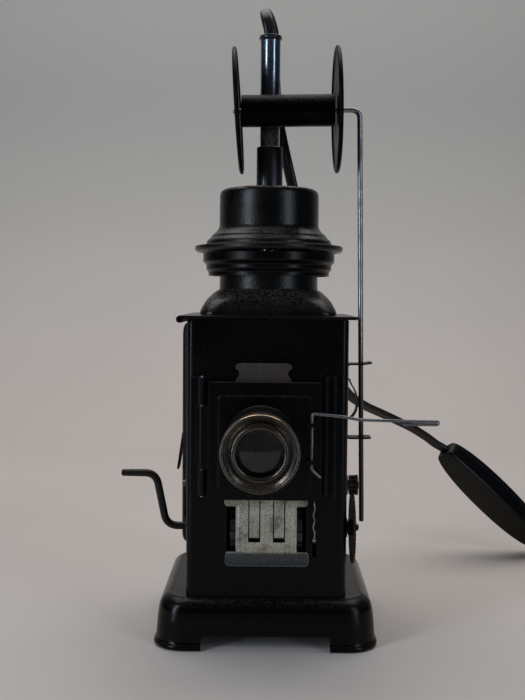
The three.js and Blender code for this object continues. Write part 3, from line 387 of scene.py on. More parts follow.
# ---------------------------------------------------------------- materials
class Graph:
    """Builds one procedural material. Coordinates are the frame's metres."""

    def __init__(self, name):
        self.material = bpy.data.materials.new(name)
        self.material.use_nodes = True
        self.tree = self.material.node_tree
        self.shader = self.tree.nodes["Principled BSDF"]
        self.space = self.add("TexCoord").outputs["Object"]

    def link(self, output, target):
        self.tree.links.new(output, target)

    def set(self, **values):
        for key, value in values.items():
            self.shader.inputs[key.replace("_", " ")].default_value = value

    def add(self, kind, **values):
        """A new node. Outputs of other nodes are linked to its inputs, other values are set."""
        node = self.tree.nodes.new("ShaderNode" + kind)
        for key, value in values.items():
            target = node.inputs[key.replace("_", " ")]
            if isinstance(value, bpy.types.NodeSocket):
                self.link(value, target)
            else:
                target.default_value = value
        return node

    def stretched(self, x, y, z):
        return self.add("Mapping", Vector=self.space, Scale=(x, y, z)).outputs["Vector"]

    def noise(self, per_mm, detail=4, roughness=0.55, vector=None):
        vector = vector or self.space
        node = self.add("TexNoise", Vector=vector, Scale=per_mm / MM, Detail=detail, Roughness=roughness)
        return node.outputs["Fac"]

    def cells(self, per_mm):
        return self.add("TexVoronoi", Vector=self.space, Scale=per_mm / MM).outputs["Distance"]

    def ramp(self, value, low, high, low_out=0.0, high_out=1.0):
        node = self.add("MapRange", Value=value, From_Min=low, From_Max=high, To_Min=low_out, To_Max=high_out)
        node.interpolation_type = "SMOOTHSTEP"
        return node.outputs["Result"]

    def times(self, a, b):
        return self.math("MULTIPLY", a, b)

    def math(self, operation, a, b):
        node = self.tree.nodes.new("ShaderNodeMath")
        node.operation = operation
        for slot, value in enumerate((a, b)):
            if isinstance(value, (int, float)):
                node.inputs[slot].default_value = value
            else:
                self.link(value, node.inputs[slot])
        return node.outputs["Value"]

    def mix(self, factor, a, b):
        node = self.tree.nodes.new("ShaderNodeMix")
        node.data_type = "RGBA"
        self.link(factor, node.inputs["Factor"])
        for socket, value in (("A", a), ("B", b)):
            target = [s for s in node.inputs if s.name == socket and s.type == "RGBA"][0]
            if isinstance(value, tuple):
                target.default_value = (*value, 1)
            else:
                self.link(value, target)
        return [s for s in node.outputs if s.type == "RGBA"][0]

    def edges(self, radius=0.7):
        """1 on outer and inner edges, found by comparing the surface with a rounded copy of itself."""
        rounder = self.add("Bevel", Radius=radius * MM)
        rounder.samples = 4
        return self.ramp(self.math("SUBTRACT", 1.0, self.along(rounder.outputs["Normal"])), 0.015, 0.16)

    def along(self, direction):
        """How far the surface faces a direction: 1 straight at it, 0 across it."""
        node = self.add("VectorMath")
        node.operation = "DOT_PRODUCT"
        self.link(self.add("NewGeometry").outputs["Normal"], node.inputs[0])
        if isinstance(direction, Vector):
            node.inputs[1].default_value = direction
        else:
            self.link(direction, node.inputs[1])
        return node.outputs["Value"]

    def upward(self):
        """1 on faces that look up, 0 on the rest."""
        split = self.add("SeparateXYZ", Vector=self.add("NewGeometry").outputs["Normal"])
        return self.ramp(split.outputs["Z"], 0.2, 0.95)

    def height(self, axis, low, high):
        """0 at low and 1 at high, in millimetres along one of the frame's axes."""
        split = self.add("SeparateXYZ", Vector=self.space)
        start = {"X": AXIS.x, "Y": AXIS.y, "Z": 0}[axis]
        return self.ramp(split.outputs[axis], start + low * MM, start + high * MM)

    def bumps(self, *layers):
        """Stacks bump layers, each (height, strength, depth in millimetres)."""
        normal = None
        for height, strength, depth in layers:
            node = self.add("Bump", Strength=strength, Distance=depth * MM, Height=height)
            if normal is not None:
                self.link(normal, node.inputs["Normal"])
            normal = node.outputs["Normal"]
        self.link(normal, self.shader.inputs["Normal"])

    def color(self, value):
        self.link(value, self.shader.inputs["Base Color"])

    def rough(self, value):
        self.link(value, self.shader.inputs["Roughness"])


# Pale tone for faces that look up: settled dust, and a painted highlight of the light above.
DUST_AND_TOP_SHEEN = (0.085, 0.070, 0.058)
SPECK = (0.055, 0.047, 0.04)


def japan(name, base=(0.0012, 0.0012, 0.0017), brown=(0.0050, 0.0032, 0.0023), stain=0.35, rough=0.24,
          pits=0.35, dents=0.35, dust=0.3, edge_amount=0.5, gloss=0.13, edge_colour=(0.050, 0.032, 0.022)):
    """Old black lacquer on sheet tin: fine pits, soft dents, brown worn edges, and dust with a painted highlight
    on tops.
    """
    g = Graph(name)
    blotch = g.noise(0.035, 5, 0.6)
    fine = g.noise(0.9, 5, 0.65)
    grain = g.noise(2.6, 3, 0.6)
    stained = g.times(g.ramp(blotch, 0.42, 0.72), stain)
    color = g.mix(stained, base, brown)
    # Edges take the edge colour: brown wear on most lacquer, a cool painted highlight on the satin.
    edge_mark = g.times(g.times(g.edges(), g.ramp(fine, 0.3, 0.62)), edge_amount)
    color = g.mix(edge_mark, color, edge_colour)
    # Faces that look up turn pale: partly settled dust, partly a painted highlight from the light above.
    dust_and_top_sheen = g.times(g.times(g.upward(), g.ramp(fine, 0.35, 0.75)), dust)
    color = g.mix(dust_and_top_sheen, color, DUST_AND_TOP_SHEEN)
    specks = g.times(g.ramp(g.noise(1.7, 2, 0.5), 0.70, 0.74), 0.45)
    g.color(g.mix(specks, color, SPECK))
    uneven = g.ramp(blotch, 0.3, 0.7, rough - 0.05, rough + 0.06)
    g.rough(g.math("ADD", uneven, g.ramp(grain, 0.35, 0.7, 0, 0.06)))
    g.bumps(
        (g.noise(0.03, 2, 0.4), dents, 0.8),
        (g.ramp(g.cells(1.15), 0.0, 0.55), pits * 0.6, 0.06),
        (fine, pits, 0.085),
    )
    g.set(Specular_IOR_Level=gloss)
    return g.material


def tinplate(name, base=(0.36, 0.335, 0.275), streak=0.5, rust=0.55, cream=(0.50, 0.48, 0.42),
             darker_below=None):
    """Bare tinplate gone cream grey, with dark specks and brown rust."""
    g = Graph(name)
    cloud = g.noise(0.16, 5, 0.6)
    speck = g.noise(2.1, 3, 0.7)
    fleck = g.cells(1.5)
    vertical = g.noise(0.5, 4, 0.6, vector=g.stretched(1.6, 1.6, 0.12))
    color = g.mix(g.ramp(cloud, 0.35, 0.7), base, tuple(c * 0.74 for c in base))
    color = g.mix(g.times(g.ramp(vertical, 0.5, 0.75), streak), color, (0.22, 0.20, 0.16))
    color = g.mix(g.times(g.ramp(cloud, 0.52, 0.66), rust), color, (0.085, 0.042, 0.022))
    color = g.mix(g.times(g.ramp(speck, 0.53, 0.62), 0.85), color, (0.050, 0.040, 0.030))
    color = g.mix(g.times(g.ramp(fleck, 0.16, 0.08), 0.5), color, cream)
    if darker_below:
        # Below the given heights the colour turns to a darker mottled grey.
        grey_below = g.mix(g.ramp(speck, 0.42, 0.58), (0.080, 0.080, 0.080), (0.022, 0.021, 0.020))
        color = g.mix(g.height("Z", *darker_below), grey_below, color)
    g.color(g.mix(g.times(g.edges(0.4), 0.35), color, cream))
    g.rough(g.ramp(speck, 0.3, 0.7, 0.42, 0.66))
    g.bumps((g.noise(0.09, 2, 0.4), 0.3, 0.8), (speck, 0.35, 0.05))
    g.set(Metallic=0.45)
    return g.material


def nickel(name, base=(0.088, 0.079, 0.071)):
    """Thin nickel plate, worn round and round, with a warm painted highlight on the faces that look up."""
    g = Graph(name)
    cloud = g.noise(0.22, 5, 0.6)
    fine = g.noise(1.9, 4, 0.7)
    color = g.mix(g.ramp(cloud, 0.38, 0.68), base, tuple(c * 0.62 for c in base))
    color = g.mix(g.times(g.ramp(fine, 0.58, 0.72), 0.5), color, (0.05, 0.038, 0.03))
    color = g.mix(g.times(g.edges(0.4), 0.6), color, (0.50, 0.46, 0.41))
    # Warm tan on faces that look up is a painted highlight from the light above.
    g.color(g.mix(g.times(g.upward(), 0.75), color, (0.46, 0.35, 0.25)))
    g.rough(g.ramp(fine, 0.3, 0.7, 0.16, 0.34))
    g.bumps((fine, 0.12, 0.03), (cloud, 0.2, 0.2))
    g.set(Metallic=0.95)
    return g.material


def steel(name, base=(0.20, 0.205, 0.22), dark=0.5, rough=0.28, darker_below=None, bare_below=None):
    """Drawn steel wire: fine lengthwise streaks and dark oxide patches."""
    g = Graph(name)
    patch = g.noise(0.12, 5, 0.65)
    fine = g.noise(1.4, 4, 0.7, vector=g.stretched(1, 1, 0.2))
    color = g.mix(g.times(g.ramp(patch, 0.45, 0.68), dark), base, (0.035, 0.033, 0.034))
    color = g.mix(g.times(g.ramp(fine, 0.58, 0.70), 0.5), color, (0.07, 0.05, 0.038))
    if darker_below:
        # Darker below the given heights.
        color = g.mix(g.height("Z", *darker_below), (0.05, 0.045, 0.043), color)
    if bare_below:
        bare = g.times(g.height("Z", *bare_below), g.ramp(g.noise(0.9, 4, 0.7), 0.40, 0.52))
        color = g.mix(bare, color, (0.62, 0.64, 0.66))
    g.color(color)
    g.rough(g.ramp(patch, 0.35, 0.7, rough, rough + 0.22))
    g.bumps((fine, 0.25, 0.03))
    g.set(Metallic=0.85)
    return g.material


def brass(name):
    """Brown tarnished brass with a little bright metal on its edges."""
    g = Graph(name)
    cloud = g.noise(0.3, 5, 0.65)
    fine = g.noise(2.0, 4, 0.7)
    color = g.mix(g.ramp(cloud, 0.35, 0.7), (0.060, 0.040, 0.024), (0.018, 0.012, 0.008))
    g.color(g.mix(g.times(g.edges(0.5), 0.6), color, (0.13, 0.085, 0.045)))
    g.rough(g.ramp(fine, 0.3, 0.7, 0.38, 0.62))
    g.bumps((fine, 0.25, 0.04))
    g.set(Metallic=0.8)
    return g.material


def moulded(name, base, sheen_rough=(0.32, 0.5), grain=0.25, per_mm=1.2, coat=0.0):
    """Moulded plastic or rubber: faint mottling, a fine grain and uneven gloss."""
    g = Graph(name)
    cloud = g.noise(0.1, 4, 0.6)
    fine = g.noise(per_mm, 4, 0.65)
    color = g.mix(g.ramp(cloud, 0.3, 0.7), base, tuple(c * 0.66 for c in base))
    edge_mark = g.times(g.times(g.edges(0.5), g.ramp(fine, 0.35, 0.6)), 0.5)
    g.color(g.mix(edge_mark, color, tuple(min(c * 2.4 + 0.015, 1) for c in base)))
    g.rough(g.ramp(fine, 0.3, 0.7, *sheen_rough))
    g.bumps((cloud, 0.15, 0.3), (fine, grain, 0.05))
    g.set(Coat_Weight=coat, Coat_Roughness=0.2, Specular_IOR_Level=0.35)
    return g.material


def glass(name):
    """Old lens glass, a little dusty."""
    tint, rough = (0.38, 0.40, 0.41), 0.02
    g = Graph(name)
    dust = g.noise(0.8, 5, 0.7)
    g.color(g.mix(g.ramp(dust, 0.5, 0.8), tint, tuple(c * 0.8 for c in tint)))
    g.rough(g.ramp(dust, 0.35, 0.75, rough, rough + 0.12))
    g.bumps((g.noise(0.05, 2, 0.4), 0.05, 0.2))
    g.set(Transmission_Weight=1.0, IOR=1.52)
    return g.material


JAPAN = japan("black_japan")
WALL = japan("wall_japan", stain=0.45, rough=0.25, pits=0.5, dents=0.45, dust=0.2)
BASE = japan("plinth_japan", stain=0.15, rough=0.20, pits=0.18, dents=0.3, edge_amount=0.3)
# Its strong dust on faces that look up also paints the warm highlight along the dome and crown tops.
WORN = japan(
    "worn_japan", base=(0.0022, 0.0020, 0.0023), brown=(0.010, 0.007, 0.005), stain=0.8, rough=0.25,
    pits=1.0, edge_amount=0.9, dust=1.0, gloss=0.26,
)
# The satin's grey-blue edge colour is a painted highlight along its edges, partly bare metal.
SATIN = japan(
    "satin_japan", base=(0.0016, 0.0018, 0.0026), stain=0.1, rough=0.25, pits=0.2, dents=0.2, edge_amount=1.0,
    edge_colour=(0.030, 0.037, 0.045),
)
# Its full dust paints a pale highlight along the tops of the core and flanges, as well as dust.
REEL_JAPAN = japan("reel_japan", stain=0.2, rough=0.3, pits=0.3, dents=0.2, dust=1.0, edge_amount=0.3, gloss=0.05)
TIN = tinplate("tinplate")
SHOE_TIN = tinplate("shoe_tinplate", base=(0.47, 0.435, 0.355), darker_below=(39.6, 41.2))
DULL_TIN = tinplate(
    "dull_tinplate", base=(0.054, 0.043, 0.036), streak=0.15, rust=0.9, cream=(0.16, 0.14, 0.12),
)
NICKEL = nickel("worn_nickel")
STEEL = steel("drawn_steel")
ARM_STEEL = steel("arm_steel", base=(0.28, 0.29, 0.31), dark=0.45, rough=0.24, darker_below=(100, 150))
DARK_STEEL = steel("dark_steel", base=(0.06, 0.062, 0.07), dark=0.8, rough=0.34)
TUBE_STEEL = steel("tube_steel", base=(0.20, 0.235, 0.30), dark=0.8, rough=0.15, bare_below=(223.5, 221.5))
SLEEVE_STEEL = steel("sleeve_steel", base=(0.055, 0.057, 0.066), dark=0.6, rough=0.28)
BRASS = brass("tarnished_brass")
SHEATH = moulded("lead_sheath", (0.009, 0.009, 0.010), (0.26, 0.36), 0.08)
GLOSSY = moulded("glossy_plastic", (0.018, 0.019, 0.022), (0.18, 0.30), 0.08, 1.2, coat=0.3)
PORCELAIN = moulded("porcelain", (0.55, 0.50, 0.41), (0.15, 0.3), 0.05, 0.8, coat=0.5)
LENS_GLASS = glass("lens_glass")
OPAL = moulded("opal_glass", (0.72, 0.69, 0.62), (0.12, 0.25), 0.03, 0.8, coat=0.4)

# ---------------------------------------------------------------- lead, switch, coil and plug
LEAD_W = 5.2
LEAD_T = 3.3
CORD_ROUTE = [
    (-0.1, 0, 264.8), (-0.7, 0.1, 268), (-1.7, 1.5, 272.3), (-2.4, 5.4, 276.2), (-1.9, 10.7, 277.6),
    (-0.5, 16, 276.2), (0.9, 19.9, 272.3), (1.6, 21.4, 267), (1.9, 21.7, 260), (2, 21.7, 252),
    (2.5, 21.7, 243), (3.4, 22, 234), (5.2, 22.8, 224.6), (7.8, 24.6, 213.6), (10.6, 27.2, 202.6),
    (13.4, 30.4, 191), (15.8, 33.4, 180), (17.5, 36.4, 169), (19, 39.6, 157), (21.8, 43.2, 145.6), (26.4, 47, 133),
    (31.4, 52, 118.4), (36.4, 58.4, 105.6), (43.2, 66, 96.6), (51.8, 74.4, 90.5), (61, 82.8, 85.8),
    (70.4, 90.6, 81), (80.6, 98.2, 75.6), (89.6, 103.8, 69.9), (95.4, 106.4, 65.6), (100.4, 107.7, 62.6),
]
FLOOR_ROUTE = [
    (157.5, 118.1, 8.2), (162, 118.3, 5), (166.8, 117.3, 3.3), (171.6, 115.3, 2.9), (176.2, 112.8, 2.9),
    (180.6, 110.2, 2.9),
]
SWITCH_TOP = Vector((101.2, 107.8, 61.9))
SWITCH_END = Vector((156.9, 118, 8.8))
SWITCH_ROLL = math.radians(-45)
SWITCH_W = 19
SWITCH_T = 14.4
SWITCH_NECK = 9.0
SWITCH_SEAM = 2.4
COIL = Extent("cord_coil")
COIL_TURNS = 6
COIL_WIDTH = 11
COIL_STEPS = 26
ON_FLOOR = 2.9  # height of the lead's middle where it lies on the floor
EDGE_FROM, EDGE_OVER, EDGE_SHARE = 300, 190, 0.35  # where the lead turns on edge, over what length, how far
PLUG = Extent("mains_plug")


def switch_matrix():
    along = (SWITCH_END - SWITCH_TOP).normalized()
    across = Vector((0, 1, 0))
    across = (across - along * across.dot(along)).normalized()
    across = Matrix.Rotation(SWITCH_ROLL, 3, along) @ across
    through = along.cross(across)
    basis = Matrix((along, across, through)).transposed().to_4x4()
    return Matrix.Translation((SWITCH_TOP + SWITCH_END) / 2) @ basis


SWITCH_FRAME = switch_matrix()


def coil_route():
    """Clockwise turns seen from above: inwards on the floor, then outwards on top."""
    outer = (COIL.x1 - COIL.x0) / 2 - 2.4
    inner = outer - COIL_WIDTH
    crossing = 0.42
    half = COIL_TURNS / 2 + 0.125
    route = []
    for i in range(int(2 * half * COIL_STEPS) + 1):
        turns = i / COIL_STEPS
        radius = inner + (outer - inner) * abs(turns - half) / half
        z = ON_FLOOR + LEAD_W * ease((turns - half + crossing) / (2 * crossing))
        angle = math.pi / 2 - turns * math.tau
        route.append((COIL.x + radius * math.cos(angle), COIL.y + radius * math.sin(angle), z))
    return route


def lead_path():
    half = (SWITCH_END - SWITCH_TOP).length / 2
    under_rocker = ((6 - half, 0), (-14, -1.6), (0, -2.2), (14, -1.6), (half - 6, 0))
    through = [SWITCH_FRAME @ Vector((x, 0, sink)) for x, sink in under_rocker]
    bridge = [(187.4, 108.2, ON_FLOOR)]
    lead_out = [(PLUG.x - 0.2, COIL.y - 9, 8), (PLUG.x, COIL.y - 16, 7.6), (PLUG.x, PLUG.y1 - 3, PLUG.z)]
    return catmull([(0, 0, 259), *CORD_ROUTE, *through, *FLOOR_ROUTE, *bridge, *coil_route(), *lead_out], 6)


def flat_twin():
    """Two cores side by side with a shallow groove between them."""
    section = []
    for side, start in ((1, -120), (-1, 60)):
        for k in range(9):
            angle = math.radians(start + k * 30)
            centre = side * (LEAD_W - LEAD_T) / 2
            section.append((centre + LEAD_T / 2 * math.cos(angle), LEAD_T / 2 * math.sin(angle)))
    return section


def lead_frames(path):
    """The flat of the lead turns from lying across to standing on edge before it reaches the coil."""
    result = []
    walked = 0
    wide = Vector((1, 0, 0))
    for i, (tangent, _, _) in enumerate(frames_along(path)):
        if i:
            walked += (path[i] - path[i - 1]).length
        on_edge = ease((walked - EDGE_FROM) / EDGE_OVER)
        carried = (wide - tangent * wide.dot(tangent)).normalized()
        upright = Vector((0, 0, 1)) - tangent * tangent.z
        wide = carried
        if upright.length > 0.2:
            wide = carried.lerp(upright.normalized(), on_edge * EDGE_SHARE)
        wide = (wide - tangent * wide.dot(tangent)).normalized()
        result.append((tangent, wide, tangent.cross(wide)))
    return result


def make_lead():
    path = lead_path()
    section = flat_twin()
    shape = skin([[p + a * u + b * v for u, v in section] for p, (_, a, b) in zip(path, lead_frames(path))])
    obj = raw_object("twin_lead", shape)
    return dress(obj, SHEATH, 50, "lamp_cord", "lamp_cord", "mains_cord", "cord_coil"), path


def switch_plastic():
    """Olive grey moulding, dull on its handled faces and still glossy along its sides, whose darker bluish tone is
    a painted reflection.
    """
    g = Graph("switch_plastic")
    sides = g.ramp(g.math("ABSOLUTE", g.along(SWITCH_FRAME.to_3x3().col[1].copy()), 0), 0.5, 0.85)
    fine = g.noise(1.6, 4, 0.65)
    cloud = g.noise(0.12, 4, 0.6)
    face = g.mix(g.ramp(cloud, 0.3, 0.7), (0.0165, 0.0155, 0.0105), (0.0105, 0.010, 0.0075))
    # The sides get a darker bluish colour: a painted reflection, not the moulding's own colour.
    color = g.mix(sides, face, (0.003, 0.0035, 0.005))
    g.color(g.mix(g.times(g.edges(0.5), 0.35), color, (0.12, 0.10, 0.075)))
    g.rough(g.math("SUBTRACT", g.ramp(fine, 0.3, 0.7, 0.46, 0.6), g.times(sides, 0.26)))
    g.bumps((cloud, 0.15, 0.3), (fine, 0.06, 0.04))
    g.set(Specular_IOR_Level=0.2)
    return g.material


def switch_half(side):
    """One moulded half: a long oval with side walls and a domed face. The lower half is the deeper one."""
    length = (SWITCH_END - SWITCH_TOP).length
    neck = SWITCH_NECK / 2
    seam = SWITCH_SEAM + side * 0.2
    loops = []
    rings = 44
    for k in range(rings + 1):
        t = -math.cos(math.pi * k / rings)
        swell = (1 - abs(t) ** 2.2) ** 0.6
        half_w = neck + (SWITCH_W / 2 - neck) * swell
        height = neck + (SWITCH_T / 2 - neck) * swell
        half_arc = [
            (half_w, side * seam), (half_w * 0.99, height * 0.74), (half_w * 0.87, height * 0.975),
            (0, height),
        ]
        mirrored = [(-y, z) for y, z in reversed(half_arc[:-1])]
        outline = rounded(half_arc + mirrored, 1.3, 5, closed=False)
        loops.append([(t * length / 2, y, side * z) for y, z in outline])
    return skin(loops)


lead, LEAD_PATH = make_lead()


# ---------------------------------------------------------------- flat work
DISC_SIDES = 32
AXES = {
    "X": lambda u, v, w: (w, u, v),
    "Y": lambda u, v, w: (u, w, v),
    "Z": lambda u, v, w: (u, v, w),
}


def layers(axis, levels):
    """Loops from (outline, height along the axis) pairs."""
    at = AXES[axis]
    return [[at(u, v, w) for u, v in outline] for outline, w in levels]


def prism(outline, axis, low, high):
    return skin(layers(axis, [(outline, low), (outline, high)]))


def ribbon(line, thickness, y0, y1):
    """A bent strip of sheet: its line lies in X and Z, and it is wide along Y."""
    line = [Vector(p) for p in line]
    left, right = [], []
    for i, point in enumerate(line):
        direction = (line[min(i + 1, len(line) - 1)] - line[max(i - 1, 0)]).normalized()
        normal = Vector((-direction.y, direction.x)) * thickness / 2
        left.append(tuple(point + normal))
        right.append(tuple(point - normal))
    return prism(left + right[::-1], "Y", y0, y1)


def wire(path, radius, sides):
    """A round wire with softly domed ends."""
    path = [Vector(p) for p in path]
    head = (path[1] - path[0]).normalized()
    tail = (path[-2] - path[-1]).normalized()
    stations = [(1 - math.cos(turn), math.sin(turn)) for turn in (0.3, 0.75, 1.15)]
    line = [path[0] + head * radius * s * 0.7 for s, _ in stations] + path[1:-1]
    line += [path[-1] + tail * radius * s * 0.7 for s, _ in reversed(stations)]
    sizes = [r for _, r in stations] + [1.0] * (len(path) - 2) + [r for _, r in reversed(stations)]
    frames = frames_along(line)
    ring = circle(radius, sides)
    loops = []
    for point, size, (_, a, b) in zip(line, sizes, frames):
        loops.append([point + (a * u + b * v) * size for u, v in ring])
    return skin(loops)


def disc_x(radius, x0, x1, y, z):
    return prism(circle(radius, DISC_SIDES, y, z), "X", x0, x1)


def disc_z(radius, z0, z1, x, y):
    return prism(circle(radius, DISC_SIDES, x, y), "Z", z0, z1)


def grid_cut(obj, axis, places):
    """Adds edge loops where the object crosses planes at these places, in millimetres along one axis."""
    normal = {"X": (1, 0, 0), "Y": (0, 1, 0), "Z": (0, 0, 1)}[axis]
    work = bmesh.new()
    work.from_mesh(obj.data)
    for value in places:
        point = place(*[value * n for n in normal])
        everything = work.verts[:] + work.edges[:] + work.faces[:]
        bmesh.ops.bisect_plane(work, geom=everything, plane_co=point, plane_no=normal, dist=1e-6)
    work.to_mesh(obj.data)
    work.free()


def deform(obj, move):
    """Moves each point by what move(x, y, z) returns, all in millimetres."""
    for vertex in obj.data.vertices:
        local = (vertex.co - AXIS) / MM
        vertex.co += Vector(move(*local)) * MM


def spread(low, high, count):
    return [low + (high - low) * i / count for i in range(count + 1)]


def along_curve(points, value):
    """Reads a smooth curve of (place, height) points at one place."""
    for (x0, y0), (x1, y1) in zip(points, points[1:]):
        if x0 <= value <= x1:
            return y0 + (y1 - y0) * ease((value - x0) / (x1 - x0))
    return points[0][1] if value < points[0][0] else points[-1][1]


# ---------------------------------------------------------------- plinth and lamp house
HOUSE = Extent("lamp_house_shell")
FRONT, BACK, LEFT, RIGHT = HOUSE.y0, HOUSE.y1 - 0.8, HOUSE.x0, HOUSE.x1
SHEET = 0.9
THIN = 0.8
GAP = 0.3
WINDOW = (-12, 12, 79.8, 97.8)  # x and z of the film window
DRIVE_OPENING = (-16.8, 16.8, 36.6, 61.2)
CATCH_SLOT = (19.5, 21.3, 38.4, 43.9)
SHAFT_Y, CRANK_Z, PINION_Z = -24, 48.3, 66.9
PLINTH_W, PLINTH_D = 39.7, 37
PLINTH_OUTER = [
    (7.3, 0), (8.1, 0.6), (8.1, 2), (7.2, 2.8), (6.6, 11.5), (5.9, 16.5), (5.1, 18.6), (3.6, 20.2),
    (1.4, 21.3), (0, 20.9),
]
PLINTH_INNER = [(0.6, 20), (2.6, 19.6), (4.1, 18.3), (4.9, 16.5), (5.6, 11.5), (6.1, 0)]


def plinth_loop(out, z):
    ring = rect_ring(-PLINTH_W - out, PLINTH_W + out, -PLINTH_D - out, PLINTH_D + out, 9 + out / 2, 10)
    return [(x, y, z) for x, y in ring]


def make_plinth():
    outer = [plinth_loop(out, z) for out, z in rounded(PLINTH_OUTER, 1.1, 4, closed=False)]
    inner = [plinth_loop(out, z) for out, z in rounded(PLINTH_INNER, 0.8, 3, closed=False)]
    hole = rect_ring(-20, 20, -20, 20, 6, 10)
    loops = outer + layers("Z", [(hole, 20.9), (hole, 20)]) + inner
    arch = rect_ring(-27, 27, -6.3, 6.3, 1.5)
    cuts = [prism(arch, "Y", -60, 60), prism(arch, "X", -60, 60)]
    return piece("plinth_fine", "base_plinth", skin(loops, closed=True), BASE, cuts=cuts, edge=0.18)


def make_shell():
    z0, z1 = HOUSE.z0, HOUSE.z1
    outside = rect_ring(LEFT, RIGHT, FRONT, BACK, 3, 8)
    inside = rect_ring(LEFT + SHEET, RIGHT - SHEET, FRONT + SHEET, BACK - SHEET, 2.1, 8)
    walls = skin(layers("Z", [(outside, z0), (outside, z1), (inside, z1), (inside, z0)]), closed=True)
    seam = prism(rect_ring(-1.6, 1.6, BACK - 0.2, BACK + 0.8, 0.3, 3), "Z", z0, z1)
    openings = (WINDOW, DRIVE_OPENING, CATCH_SLOT)
    cuts = [box_shape(x0, x1, FRONT - 5, FRONT + 5, z0, z1) for x0, x1, z0, z1 in openings]
    cuts.append(box_shape(LEFT - 5, LEFT + 5, -10, 24, 46, 130.4))
    cuts += [disc_x(3.3, -50, 50, SHAFT_Y, z) for z in (CRANK_Z, PINION_Z)]
    return piece("house_fine", "lamp_house_shell", walls, WALL, cuts=cuts, joins=[seam], edge=0.16)


DOOR = (-16, 30, 38, 136.4)  # y and z
HINGE_X, HINGE_Y, HINGE_LOW, HINGE_HIGH = -36.2, 32.3, 60, 115


def make_door():
    start = LEFT - GAP
    y0, y1, z0, z1 = DOOR

    def level(depth, inset):
        ring = rect_ring(y0 + inset, y1 - inset, z0 + inset, z1 - inset, 6 - inset * 0.9, 8)
        return [(start - depth, y, z) for y, z in ring]

    outer = rounded([(0, 0), (1.8, 0), (2.8, 0.8), (3.3, 2.4)], 0.8, 4, closed=False)
    inner = rounded([(2.4, 3.2), (1.6, SHEET), (0, SHEET)], 0.6, 3, closed=False)
    pan = skin([level(*p) for p in inner] + [level(*p) for p in outer])
    knuckle = disc_z(1.6, HINGE_LOW, HINGE_HIGH, HINGE_X, HINGE_Y)
    leaf = box_shape(-36.7, -35.8, 29.5, HINGE_Y, HINGE_LOW, HINGE_HIGH)
    tilt = Matrix.Translation((-38.5, -9, 79.4)) @ Matrix.Rotation(math.radians(8), 4, "Y")
    flap = moved(prism(rect_ring(-4.7, 4.7, -8.5, 8.5, 1.2, 4), "X", -0.4, 0.4), tilt)
    pin_bore = disc_z(1.1, HINGE_LOW - 10, HINGE_HIGH + 10, HINGE_X, HINGE_Y)
    cuts = [box_shape(-45, start - 1.5, -13, -5, 72, 80), pin_bore]
    return piece("door_fine", "side_door", pan, WALL, joins=[flap, leaf, knuckle], cuts=cuts, edge=0.14)


make_plinth()
make_shell()
make_door()


# ---------------------------------------------------------------- roof and chimney
def make_roof():
    roof = Extent("roof_plate")
    half_x, half_y, low, high = 37.6, 40, 138.6, 140
    rim = [(half_x - 2, low), (half_x, low), (half_x, high), (half_x - 2, high)]
    edge = rounded(rim, 0.6, 4, closed=False)
    rings = [(rect_ring(-r, r, -half_y - r + half_x, half_y + r - half_x, 1.6, 6), z) for r, z in edge]
    loops = layers("Z", rings)
    hole = circle_ring(0, 0, 20, 6)
    loops += layers("Z", [(hole, high), (hole, low)])
    bead_x = roof.x0 + 1.5
    bead = moved(prism(circle(1.5, 24), "Y", -half_y, half_y), Matrix.Translation((bead_x, 0, high - 1.6)))
    return piece("roof_fine", "roof_plate", skin(loops, closed=True), JAPAN, joins=[bead], edge=0.12)


DOME_LEVELS = [
    (140.3, 29.6, 7), (141.6, 29.4, 7.5), (144, 28.4, 9), (146.5, 27, 11), (149, 24.9, 14),
    (150.7, 23.1, 18), (151.4, 22.3, 22.1), (154, 22.2, 22.2), (159, 22.2, 22.2), (164, 22.2, 22.2),
]


def make_dome():
    levels = catmull(DOME_LEVELS, 4)

    def loop(level, inset):
        z, half, corner = level
        half, corner = half - inset, max(corner - inset, 1)
        return [(x, y, z) for x, y in rect_ring(-half, half, -half, half, corner, 14)]

    loops = [loop(level, 0) for level in levels] + [loop(level, SHEET) for level in reversed(levels)]
    return piece("dome_fine", "chimney_dome", skin(loops, closed=True), WORN, edge=0.12, angle=45)


SKIRT_OUTER = [(27.3, 157.4), (27.3, 159.3), (28.3, 160), (28.3, 162.5), (29.7, 163.4), (29.7, 167.3)]


def make_skirt():
    inner = [(r - SHEET, z) for r, z in reversed(SKIRT_OUTER)]
    profile = rounded(SKIRT_OUTER, 0.9, 4, closed=False) + rounded(inner, 0.4, 2, closed=False)
    tabs = []
    for k in range(3):
        turn = Matrix.Rotation(k * math.tau / 3, 4, "Z")
        tabs.append(moved(box_shape(22.6, 27.4, -3, 3, 162, 163), turn))
    return piece("skirt_fine", "chimney_skirt", spin(profile, 112), JAPAN, joins=tabs, edge=0.12)


BRIM_R, BRIM_Z, BEAD_R = 31.8, 169.6, 1.65
CROWN_OUTER = [
    (28.4, 171.4), (28.1, 173.0), (26.2, 174.5), (25.8, 175.5), (23.6, 177.2), (22.4, 179.2),
    (22.3, 193.8), (21.6, 195.4), (20, 196.2), (6.15, 196.2),
]
CROWN_INNER = [
    (6.15, 195.3), (19.5, 195.3), (21, 193.4), (21, 178.4), (23, 176.4), (26.8, 172.2), (27, 170.6),
    (29.6, 168.4),
]


def make_crown():
    bead = []
    for i in range(15):  # three quarters of a circle
        angle = math.pi * (1.25 - i / 14 * 1.5) + math.pi
        bead.append((BRIM_R + BEAD_R * math.cos(angle), BRIM_Z + BEAD_R * math.sin(angle)))
    profile = bead + rounded(CROWN_OUTER, 1.1, 4, closed=False) + rounded(CROWN_INNER, 0.5, 2, closed=False)
    return piece("crown_fine", "chimney_crown", spin(profile, 128), WORN, edge=0.1)


make_roof()
make_dome()
make_skirt()
make_crown()

